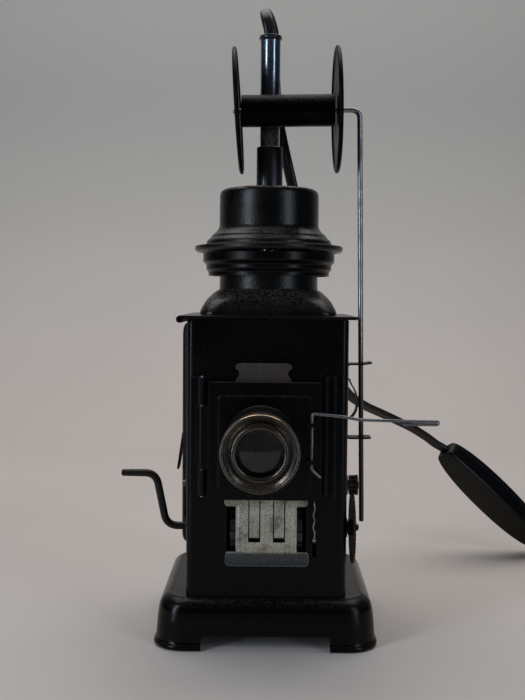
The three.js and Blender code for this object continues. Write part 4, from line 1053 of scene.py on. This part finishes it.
# ---------------------------------------------------------------- lamp sleeve, tube and bush
SLEEVE_PROFILE = [(4.7, 190), (5.85, 190), (5.85, 214.7), (5.6, 215.2), (4.7, 215.2)]
TUBE_PROFILE = [(3.4, 128), (4.4, 128), (4.4, 262.5), (3.4, 262.5)]
BUSH_PROFILE = [
    (2.9, 258), (3.1, 258), (3.1, 262.8), (4.8, 262.8), (5.15, 263.4), (4.9, 264.5), (4.3, 264.7),
    (2.9, 264.7),
]
seam_groove = box_shape(-2.35, -2.05, -6.2, -5.35, 196.4, 216)
piece("sleeve_fine", "lamp_sleeve", spin(rounded(SLEEVE_PROFILE, 0.25, 3), 72), SLEEVE_STEEL,
      cuts=[seam_groove], edge=0.08)
piece("tube_fine", "lamp_tube", spin(rounded(TUBE_PROFILE, 0.2, 2), 64), TUBE_STEEL)
piece("bush_fine", "tube_bush", spin(rounded(BUSH_PROFILE, 0.2, 3), 64), GLOSSY)


# ---------------------------------------------------------------- film gate
def windowed(outline, back):
    """A thin sheet with the film window in it."""
    window = rect_ring(*WINDOW, 0.8, 6)
    levels = [(outline, back), (outline, back - THIN), (window, back - THIN), (window, back)]
    return skin(layers("Y", levels), closed=True)


TRACK_OUTLINE = [
    (-17, 66), (17, 66), (17, 109), (10.2, 110.6), (10.2, 112.8), (9.3, 114.4), (8.6, 115.4), (8.6, 117.0),
    (10.2, 118.2), (10.2, 119.4), (8.8, 120.4), (-12, 120.4), (-13.4, 119.4), (-13.4, 118.2), (-11.8, 117.0),
    (-11.8, 115.4), (-12.5, 114.4), (-13.4, 112.8), (-13.4, 110.6), (-17, 109),
]


def make_track():
    y0 = FRONT - 2 * GAP - 2 * THIN
    shape = prism(rounded(TRACK_OUTLINE, 0.6, 3), "Y", y0, y0 + THIN)
    window = box_shape(*WINDOW[:2], y0 - 2, y0 + 2, *WINDOW[2:])
    return piece("track_fine", "film_track", shape, DULL_TIN, cuts=[window], edge=0.12)


SHOE_OUTLINE = [
    (-17.7, 63.2), (17.4, 63.2), (17.4, 61), (16.4, 60), (12.8, 60), (12.8, 40.6), (17.4, 40.6), (18, 39.4),
    (18, 36, 1.2), (16.6, 35.2, 1.2), (-15.9, 35.2, 1.2), (-17.3, 36, 1.2), (-17.3, 39.4), (-16.7, 40.6),
    (-12.8, 40.6), (-12.8, 60), (-16.7, 60), (-17.7, 61),
]
SHOE_BOW = [
    (35.2, -2.4), (36.4, -1), (38.4, -0.2), (40.6, 0), (44.5, -0.9), (49, -1.2), (53, -1.1), (57.5, -0.5),
    (60.4, 0), (63.4, 0),
]
TONGUES = (-7.3, 3.1)
TONGUE_W = 4.6
RIDGE_X = 11.4


def make_shoe():
    y1 = FRONT - GAP
    slits = []
    for x in TONGUES:
        slits += [rect_ring(side - 0.24, side + 0.24, 44.9, 62.5, 0.2, 3) for side in (x, x + TONGUE_W)]
        slits.append(rect_ring(x - 0.2, x + TONGUE_W + 0.2, 44.9, 46.9, 0.9, 5))
    obj = raw_object("shoe_fine", prism(rounded(SHOE_OUTLINE, 0.6, 3), "Y", y1 - THIN, y1))
    combine(obj, [prism(slit, "Y", y1 - 5, y1 + 5) for slit in slits], "DIFFERENCE")
    grid_cut(obj, "Z", spread(35.6, 62.8, 34))
    creases = [side * (RIDGE_X + k * 0.3) for side in (-1, 1) for k in (-2, -1, 0, 1, 2)]
    grid_cut(obj, "X", creases + [-16, -14.5, 14.5, 16, -2.5, 0, 2.5])

    def bow(x, y, z):
        shift = along_curve(SHOE_BOW, z)
        ridge = math.exp(-((abs(x) - RIDGE_X) / 0.45) ** 2)
        crease = -0.28 * ridge if 41 < z < 60 else 0
        tongue = any(left < x < left + TONGUE_W for left in TONGUES) and 47 < z < 60
        spring = -0.5 * math.sin((60 - z) / 13 * math.pi / 2) if tongue else 0
        hump = -0.35 * (1 - (x / 17) ** 2) if 40 < z < 60.5 else 0
        return 0, shift + crease + spring + hump * 0.3, 0

    deform(obj, bow)
    bevel(obj, 0.1)
    settle(obj)
    return dress(obj, SHOE_TIN, 40, "film_shoe", "film_shoe")


CATCH_X, CATCH_Y = 20.1, FRONT - 1.5
CATCH_LINE = [
    (0, 0.9, 62.6), (0, 0, 61.4), (0.25, 0, 59), (-0.3, 0, 56.6), (0.2, 0, 54), (-0.35, 0, 51.4),
    (0.3, 0, 49), (0.1, 0, 46.4),
]


def make_catch():
    """A thin bent wire that holds the shoe, with a small bead where it is pushed."""
    path = catmull([(CATCH_X + x, CATCH_Y + y, z) for x, y, z in CATCH_LINE], 6)
    bead = [(0.02, -1)]
    for k in range(1, 9):
        angle = math.pi * k / 9 - math.pi / 2
        bead.append((0.95 * math.cos(angle), 0.95 * math.sin(angle)))
    bead.append((0.02, 1))
    bead_shape = moved(spin(bead, 24), Matrix.Translation((CATCH_X + 0.1, CATCH_Y, 45.9)))
    return piece("catch_fine", "shoe_catch_pin", wire(path, 0.36, 12), STEEL, joins=[bead_shape], angle=60)


gate_outline = rect_ring(-25.5, 23.4, 63.9, 116, 1, 6)
piece("gate_frame_fine", "gate_frame", windowed(gate_outline, FRONT - GAP), JAPAN, edge=0.15)
make_track()
make_shoe()
pressure_outline = rect_ring(-17, 16.5, 76, 101.6, 2, 6)
pressure_back = FRONT - 3 * GAP - 2 * THIN
piece("pressure_fine", "film_pressure_frame", windowed(pressure_outline, pressure_back), TIN, edge=0.12)
make_catch()

# ---------------------------------------------------------------- lens board and lens
BOARD_Y = FRONT - 5
BOARD_FRONT = BOARD_Y - 2
LENS_X, LENS_Z = -2.5, 88.8
BOARD_LEFT, BOARD_RIGHT, BOARD_BOTTOM, BOARD_TOP = -24.5, 22.5, 63.6, 112.9


def make_board():
    def outline(side, bottom, top, corner):
        low, high = BOARD_BOTTOM + bottom, BOARD_TOP - top
        return rect_ring(BOARD_LEFT + side, BOARD_RIGHT - side, low, high, corner, 8)

    lens_hole = circle_ring(LENS_X, LENS_Z, 13.3, 8)
    levels = [
        (outline(0, 0, 0, 1), BOARD_Y), (outline(0, 0, 0, 1), BOARD_Y - 0.75),
        (outline(0.25, 0.25, 0.25, 0.9), BOARD_Y - 1), (outline(4.0, 4.2, 5.3, 1.7), BOARD_Y - 1),
        (outline(4.35, 4.55, 5.65, 1.6), BOARD_Y - 1.25), (outline(4.45, 4.65, 5.75, 1.6), BOARD_Y - 1.7),
        (outline(4.8, 5.0, 6.1, 1.4), BOARD_FRONT), (lens_hole, BOARD_FRONT), (lens_hole, BOARD_Y - 1),
        (outline(5.4, 5.6, 6.7, 1), BOARD_Y - 1), (outline(5.4, 5.6, 6.7, 1), BOARD_Y),
    ]
    hinge_x, hinge_y, low, high = -27, BOARD_Y + 0.6, 76.4, 102.6
    knuckle = disc_z(1.35, low, high, hinge_x, hinge_y)
    leaf = box_shape(hinge_x, BOARD_LEFT + 0.5, BOARD_Y - 0.7, BOARD_Y, low, high)
    bore = disc_z(0.95, 60, 120, hinge_x, hinge_y)
    return piece("board_fine", "lens_board", skin(layers("Y", levels), closed=True), JAPAN,
                 joins=[leaf, knuckle], cuts=[bore], edge=0.1, angle=30)


LENS_FRAME = facing_front(LENS_X, BOARD_FRONT, LENS_Z)
SLEEVE = [(13.35, 0.3), (14.8, 0.3), (14.8, 1.8), (14.2, 2.4), (14.2, 20), (13.35, 20)]
LENS_TUBE = [(12.1, 9), (13, 9), (13, 32.9), (12.1, 32.9)]
FRONT_RING = [
    (13.3, 29.4), (14.9, 29.4), (15.3, 30.2), (15.3, 36.0), (14.9, 36.9), (14.2, 37.0), (13.7, 36.4),
    (11.4, 34.6), (11.1, 36.1), (10.6, 36.6), (9.7, 36.6), (9.1, 36), (9.1, 33.4), (9.6, 33.4),
    (9.8, 33.2), (13.3, 33.2),
]
FRONT_GLASS = [(0, 30.6), (9.4, 30.6), (9.4, 33.0), (8.0, 33.4), (5, 34.1), (2, 34.5), (0, 34.6)]
REAR_GLASS = [(0, 10.4), (11.6, 10.4), (11.6, 12.2), (8, 13.4), (4, 14.1), (0, 14.3)]

make_board()
piece("lens_sleeve_fine", "lens_sleeve", spin(rounded(SLEEVE, 0.3, 3), 96), SATIN, LENS_FRAME)
piece("lens_tube_fine", "lens_tube", spin(rounded(LENS_TUBE, 0.2, 2), 96), SATIN, LENS_FRAME)
piece("lens_ring_fine", "lens_front_ring", spin(rounded(FRONT_RING, 0.35, 4), 128), NICKEL, LENS_FRAME)
for name, node, profile in (
    ("front_glass_fine", "front_lens", FRONT_GLASS), ("rear_glass_fine", "rear_lens", REAR_GLASS),
):
    curved = [profile[0], *rounded(profile, 0.8, 4, closed=False)[1:-1], profile[-1]]
    piece(name, node, spin(curved, 96), LENS_GLASS, LENS_FRAME)

# ---------------------------------------------------------------- wire lever
LEVER_X, LEVER_Y, LEVER_R = 18.4, BOARD_FRONT - 2.2, 0.65


def make_lever():
    corners = [
        (22.3, LEVER_Y, 73.8), (LEVER_X, LEVER_Y, 77.4), (LEVER_X, LEVER_Y, 100.3), (31.8, LEVER_Y, 99.1),
        (38, LEVER_Y, 98), (56, LEVER_Y, 97.65),
    ]
    path = bent(corners, 1.2, 8)
    end, below = 69.4, 1.36
    turn = []
    for k in range(9):
        angle = math.pi / 2 - math.pi * k / 8
        x, z = end + below / 2 * math.cos(angle), 97.2 + below / 2 * math.sin(angle) - 0.25
        turn.append(Vector((x, LEVER_Y, z)))
    back = [Vector((56.5, LEVER_Y, 97.65 - below)), Vector((55.6, LEVER_Y, 97.65 - below))]
    shape = wire([*path, *turn, *back], LEVER_R, 14)
    return piece("lever_fine", "wire_lever", shape, STEEL, angle=60)


make_lever()

# ---------------------------------------------------------------- crank
CRANK_FRAME = Matrix.Translation((0, SHAFT_Y, CRANK_Z))
CRANK_CORNERS = [(40.3, 0, 0), (-43.4, 0, 0), (-48.1, 0, 23), (-63.2, 0, 23)]
piece("crank_fine", "crank_shaft", wire(bent(CRANK_CORNERS, 5, 12), 1.65, 24), WORN, CRANK_FRAME, angle=60)

# ---------------------------------------------------------------- reel on its wire arm
ARM_LEAN = math.radians(1)
REEL_Z = 229.2
ARM_X, ARM_Y = 42.9, -16
ARM_FRAME = Matrix.Translation((ARM_X, ARM_Y, 0)) @ Matrix.Rotation(-ARM_LEAN, 4, "Y")
REEL_FRAME = ARM_FRAME @ facing_right(0, 0, REEL_Z)
ARM_R = 1.15
REEL_R = 27


def on_arm(x):
    """The place along the reel's axle that stands at x beside the chimney."""
    return x - ARM_X + REEL_Z * math.sin(ARM_LEAN)


ARM_CORNERS = [(0, 0, 49), (0, 0, REEL_Z), (on_arm(-16.2), 0, REEL_Z)]
FLANGE_PROFILE = [
    (1.55, -0.8), (8, -0.8), (9, -1.15), (11, -1.15), (12, -0.8), (REEL_R - 2.2, -0.8), (REEL_R - 1.3, -1.3),
    (REEL_R, -0.6), (REEL_R, 0.4), (REEL_R - 1.3, 0.9), (REEL_R - 2.4, 0), (12.4, 0), (11.2, -0.35),
    (8.8, -0.35), (7.6, 0), (1.55, 0),
]


def make_reel():
    left, right = on_arm(-13.6), on_arm(28.9)
    core = [(6.05, left + 1.3), (6.85, left + 1.3), (6.85, right - 1), (6.05, right - 1)]
    groove = Matrix.Rotation(math.radians(115), 4, "Z")
    slit = moved(box_shape(5.9, 8, -0.15, 0.15, left, right), groove)
    piece("reel_core_fine", "reel_core", spin(rounded(core, 0.2, 2), 72), REEL_JAPAN, REEL_FRAME,
          cuts=[moved(slit, REEL_FRAME)], edge=0.08)
    profile = rounded(FLANGE_PROFILE, 0.5, 3)
    lefthand = Matrix.Translation((0, 0, left)) @ Matrix.Rotation(-math.radians(2.6), 4, "Y")
    righthand = Matrix.Translation((0, 0, right)) @ Matrix.Rotation(math.pi, 4, "Y")
    for name, node, turn in (
        ("reel_left_fine", "reel_flange_left", lefthand), ("reel_right_fine", "reel_flange_right", righthand),
    ):
        piece(name, node, spin(profile, 112), REEL_JAPAN, REEL_FRAME @ turn)


piece("reel_arm_fine", "reel_arm", wire(bent(ARM_CORNERS, 4, 12), ARM_R, 18), ARM_STEEL, ARM_FRAME, angle=60)
make_reel()

CLIP_LINE = [
    (45.4, 119.7), (41.5, 119), (34.8, 119), (34.8, 86.6), (41.5, 86.6), (45.4, 86.8),
]
SPRING_LINE = [
    (35.8, 112.4), (36.6, 110.4), (38.2, 107.6), (39.2, 104.6), (39.4, 101.6), (38.9, 98.6), (37.6, 96.2),
    (36.0, 94.8),
]


def arm_hole(z):
    return disc_z(ARM_R + 0.6, z - 2, z + 2, ARM_X - z * math.sin(ARM_LEAN), ARM_Y)


piece("clip_fine", "clip_bracket", ribbon(rounded(CLIP_LINE, 1.4, 5, closed=False), 0.8, -20, -12), JAPAN,
      cuts=[arm_hole(119), arm_hole(86.6)], edge=0.12)
spring_curve = [(p.x, p.y) for p in catmull([(x, z, 0) for x, z in SPRING_LINE], 4)]
piece("clip_spring_fine", "clip_spring", ribbon(spring_curve, 0.5, -19, -13), DARK_STEEL, edge=0.08)

# ---------------------------------------------------------------- switch
ROCKER_L, ROCKER_W = 16.2, 8.2
LEAD_HOLE = [(u * 1.06, v * 1.06) for u, v in rect_ring(-2.6, 2.6, -2.6, 2.6, 2.5, 6)]


def make_switch():
    plastic = switch_plastic()
    halves = []
    end, face = ROCKER_L / 2, SWITCH_T / 2
    well_ring = rect_ring(-end - 0.6, end + 0.6, -ROCKER_W / 2 - 0.3, ROCKER_W / 2 + 0.3, 1, 4)
    length = (SWITCH_END - SWITCH_TOP).length
    tools = [prism(LEAD_HOLE, "X", *ends) for ends in ((-length, -length / 2 + 4), (length / 2 - 4, length))]
    tools.append(prism(well_ring, "Z", face - 6.4, SWITCH_T))
    cuts = [moved(shape, SWITCH_FRAME) for shape in tools]
    for part, side in (("lower", -1), ("upper", 1)):
        halves.append(piece("switch_%s_fine" % part, "switch_%s_shell" % part, switch_half(side), plastic,
                            SWITCH_FRAME, cuts=cuts, edge=0.3, angle=32))
    outline = rounded([
        (-end, face - 4.8), (end, face - 4.8), (end, face - 0.4), (end / 2, face + 0.4), (0, face + 0.3),
        (-end / 2, face + 1.1), (-end, face + 1),
    ], 0.8, 4)
    rocker = piece("rocker_fine", "switch_rocker", prism(outline, "Y", -ROCKER_W / 2, ROCKER_W / 2), GLOSSY,
                   SWITCH_FRAME, edge=0.35)
    return halves, rocker


switch_halves, rocker_piece = make_switch()


# ---------------------------------------------------------------- plug and tie
RIB_DEPTH, RIB_PITCH = 0.45, 1.1
PIN_X, PIN_START = 9, 34.6  # from the plug's middle, and from its back


def make_plug():
    """A moulded plug on its side: the lead comes in at the back, and the pins point to the front."""
    middle_x, middle_z = PLUG.x, PLUG.z
    back = PLUG.y1
    stations = [  # distance from the back, half width, half height, roundness
        (0, 3.5, 2.9, 0.9), (1, 4.1, 3.4, 0.9), (4, 4.5, 3.7, 0.9), (8, 5.0, 4.1, 0.85),
        (11.5, 5.7, 4.6, 0.8), (14.5, 7.6, 5.3, 0.7), (17.5, 10.2, 6.0, 0.6), (20.5, 12.3, 6.5, 0.5), (24, 13.3, 6.7, 0.45),
        (29, 13.6, 6.75, 0.42), (33, 13.6, 6.7, 0.42), (34.3, 13.2, 6.3, 0.42), (34.8, 12.4, 5.6, 0.42),
    ]
    curve = [Vector((s[1], s[2], s[3])) for s in stations]
    loops = []
    for i in range(len(stations) - 1):
        for k in range(5):
            t = k / 5
            depth = stations[i][0] * (1 - t) + stations[i + 1][0] * t
            eased = curve[i].lerp(curve[i + 1], t)
            groove = RIB_DEPTH if 2 < depth < 12.5 and int(depth / RIB_PITCH) % 2 else 0
            half_w, half_h, power = eased.x - groove, eased.y - groove, eased.z
            loop = []
            for j in range(48):
                angle = math.tau * j / 48
                c, s = math.cos(angle), math.sin(angle)
                x = half_w * math.copysign(abs(c) ** power, c)
                z = half_h * math.copysign(abs(s) ** power, s)
                loop.append((middle_x + x, back - depth, middle_z + z))
            loops.append(loop)
    body = skin(loops)
    obj = piece("plug_fine", "mains_plug", body, GLOSSY, edge=0.12, angle=50)
    pins = []
    pin_profile = [(0, 0), (2, 0), (2, 17.2), (1.75, 18.2), (1.1, 18.9), (0, 19)]
    for side in (-1, 1):
        frame_matrix = facing_front(middle_x + side * PIN_X, back - PIN_START, middle_z)
        name = "plug_pin_left" if side < 0 else "plug_pin_right"
        pin = raw_object(name, spin(pin_profile, 32), frame_matrix)
        pins.append(dress(pin, PIN_METAL, 40, "mains_plug"))
    return obj, pins


def make_tie():
    """A soft strap round the coil."""
    angle = math.radians(205)
    middle = (COIL.x1 - COIL.x0) / 4 + 10.3
    outline = rect_ring(-7.3, 7.3, -5.15, 5.15, 2.2, 6)
    inner = rect_ring(-6.7, 6.7, -4.6, 4.6, 1.9, 6)
    loops = layers("Y", [(outline, -2.6), (outline, 2.6), (inner, 2.6), (inner, -2.6)])
    turn = Matrix.Translation((COIL.x, COIL.y, 5.5)) @ Matrix.Rotation(angle, 4, "Z")
    turn = turn @ Matrix.Translation((middle, 0, 0))
    obj = raw_object("coil_tie", skin(loops, closed=True), turn)
    bevel(obj, 0.12)
    settle(obj)
    return dress(obj, SHEATH, 40, "cord_coil")


PIN_METAL = nickel("pin_metal", base=(0.5, 0.47, 0.42))
plug_body, plug_pins = make_plug()
coil_tie = make_tie()

# ---------------------------------------------------------------- CAD nodes that stay
KEPT = {
    "board_hinge_rail": SATIN, "board_catch_rail": SATIN, "lever_bracket": JAPAN, "door_hinge": JAPAN,
    "condenser_plate": WALL, "lamp_house_floor": WALL, "condenser_ring": NICKEL, "bulb_cap": NICKEL,
    "board_hinge_pin": STEEL, "door_hinge_pin": DARK_STEEL, "pinion_shaft": STEEL,
    "beater_frame": DARK_STEEL, "sprocket_drum": SATIN, "sprocket_wheel_left": DARK_STEEL,
    "sprocket_wheel_right": DARK_STEEL, "condenser_lens": LENS_GLASS, "bulb_glass": OPAL,
    "lamp_socket": PORCELAIN,
}
replaced = set()
for obj in list(bpy.context.scene.objects):
    replaced.update(obj.get("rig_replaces", []))
for name in NODES:
    if name in replaced:
        continue
    keep(name, KEPT.get(name, BRASS), 0 if name in ("condenser_lens", "bulb_glass") else 0.13)

# ---------------------------------------------------------------- floor, backdrop and light
FLOOR_BACK, SWEEP_R, STAGE_HALF = 470, 420, 2600


def make_stage():
    profile = [(-1600, 0), (300, 0), (FLOOR_BACK, 0)]
    for k in range(1, 19):
        turn = k / 18 * math.pi / 2
        profile.append((FLOOR_BACK + SWEEP_R * math.sin(turn), SWEEP_R - SWEEP_R * math.cos(turn)))
    profile.append((FLOOR_BACK + SWEEP_R, STAGE_HALF))
    points, faces = [], []
    for y, z in profile:
        points += [(x, y, z - 0.05) for x in (-STAGE_HALF, STAGE_HALF)]
    for k in range(len(profile) - 1):
        faces.append((2 * k, 2 * k + 1, 2 * k + 3, 2 * k + 2))
    obj = raw_object("studio_floor", (points, faces))
    obj.data.shade_smooth()
    g = Graph("studio_paper")
    floor_tone = g.mix(g.ramp(g.noise(0.004, 3, 0.5), 0.3, 0.7), (0.605, 0.545, 0.512), (0.58, 0.52, 0.49))
    g.color(g.mix(g.height("Z", 0, SWEEP_R), floor_tone, (0.46, 0.455, 0.437)))
    g.rough(g.ramp(g.noise(0.3, 3, 0.6), 0.3, 0.7, 0.75, 0.9))
    g.bumps((g.noise(0.6, 4, 0.6), 0.05, 0.05))
    obj.data.materials.append(g.material)


def softbox(name, x, y, z, aim, width, height, watts, color):
    data = bpy.data.lights.new(name, "AREA")
    data.shape = "RECTANGLE"
    data.size, data.size_y = width, height
    data.energy = watts
    data.color = color
    obj = bpy.data.objects.new(name, data)
    bpy.context.scene.collection.objects.link(obj)
    obj.location = place(x, y, z)
    direction = place(*aim) - obj.location
    obj.rotation_euler = direction.to_track_quat("-Z", "Y").to_euler()


make_stage()
MIDDLE = (0, 0, 130)
softbox("key_left", -620, -540, 330, MIDDLE, 0.16, 0.75, 3.9, (0.74, 0.87, 1.0))
softbox("key_right", 640, -640, 330, MIDDLE, 0.14, 0.75, 2.2, (0.74, 0.87, 1.0))
softbox("top", 0, 330, 1150, (0, 230, 0), 1.4, 0.9, 9.6, (1.0, 0.99, 0.975))
world = bpy.data.worlds.new("world")
bpy.context.scene.world = world
world.use_nodes = True
background = world.node_tree.nodes["Background"]
background.inputs["Color"].default_value = (0.5, 0.5, 0.5, 1)
background.inputs["Strength"].default_value = 0.03
bpy.context.scene.view_settings.view_transform = "Standard"
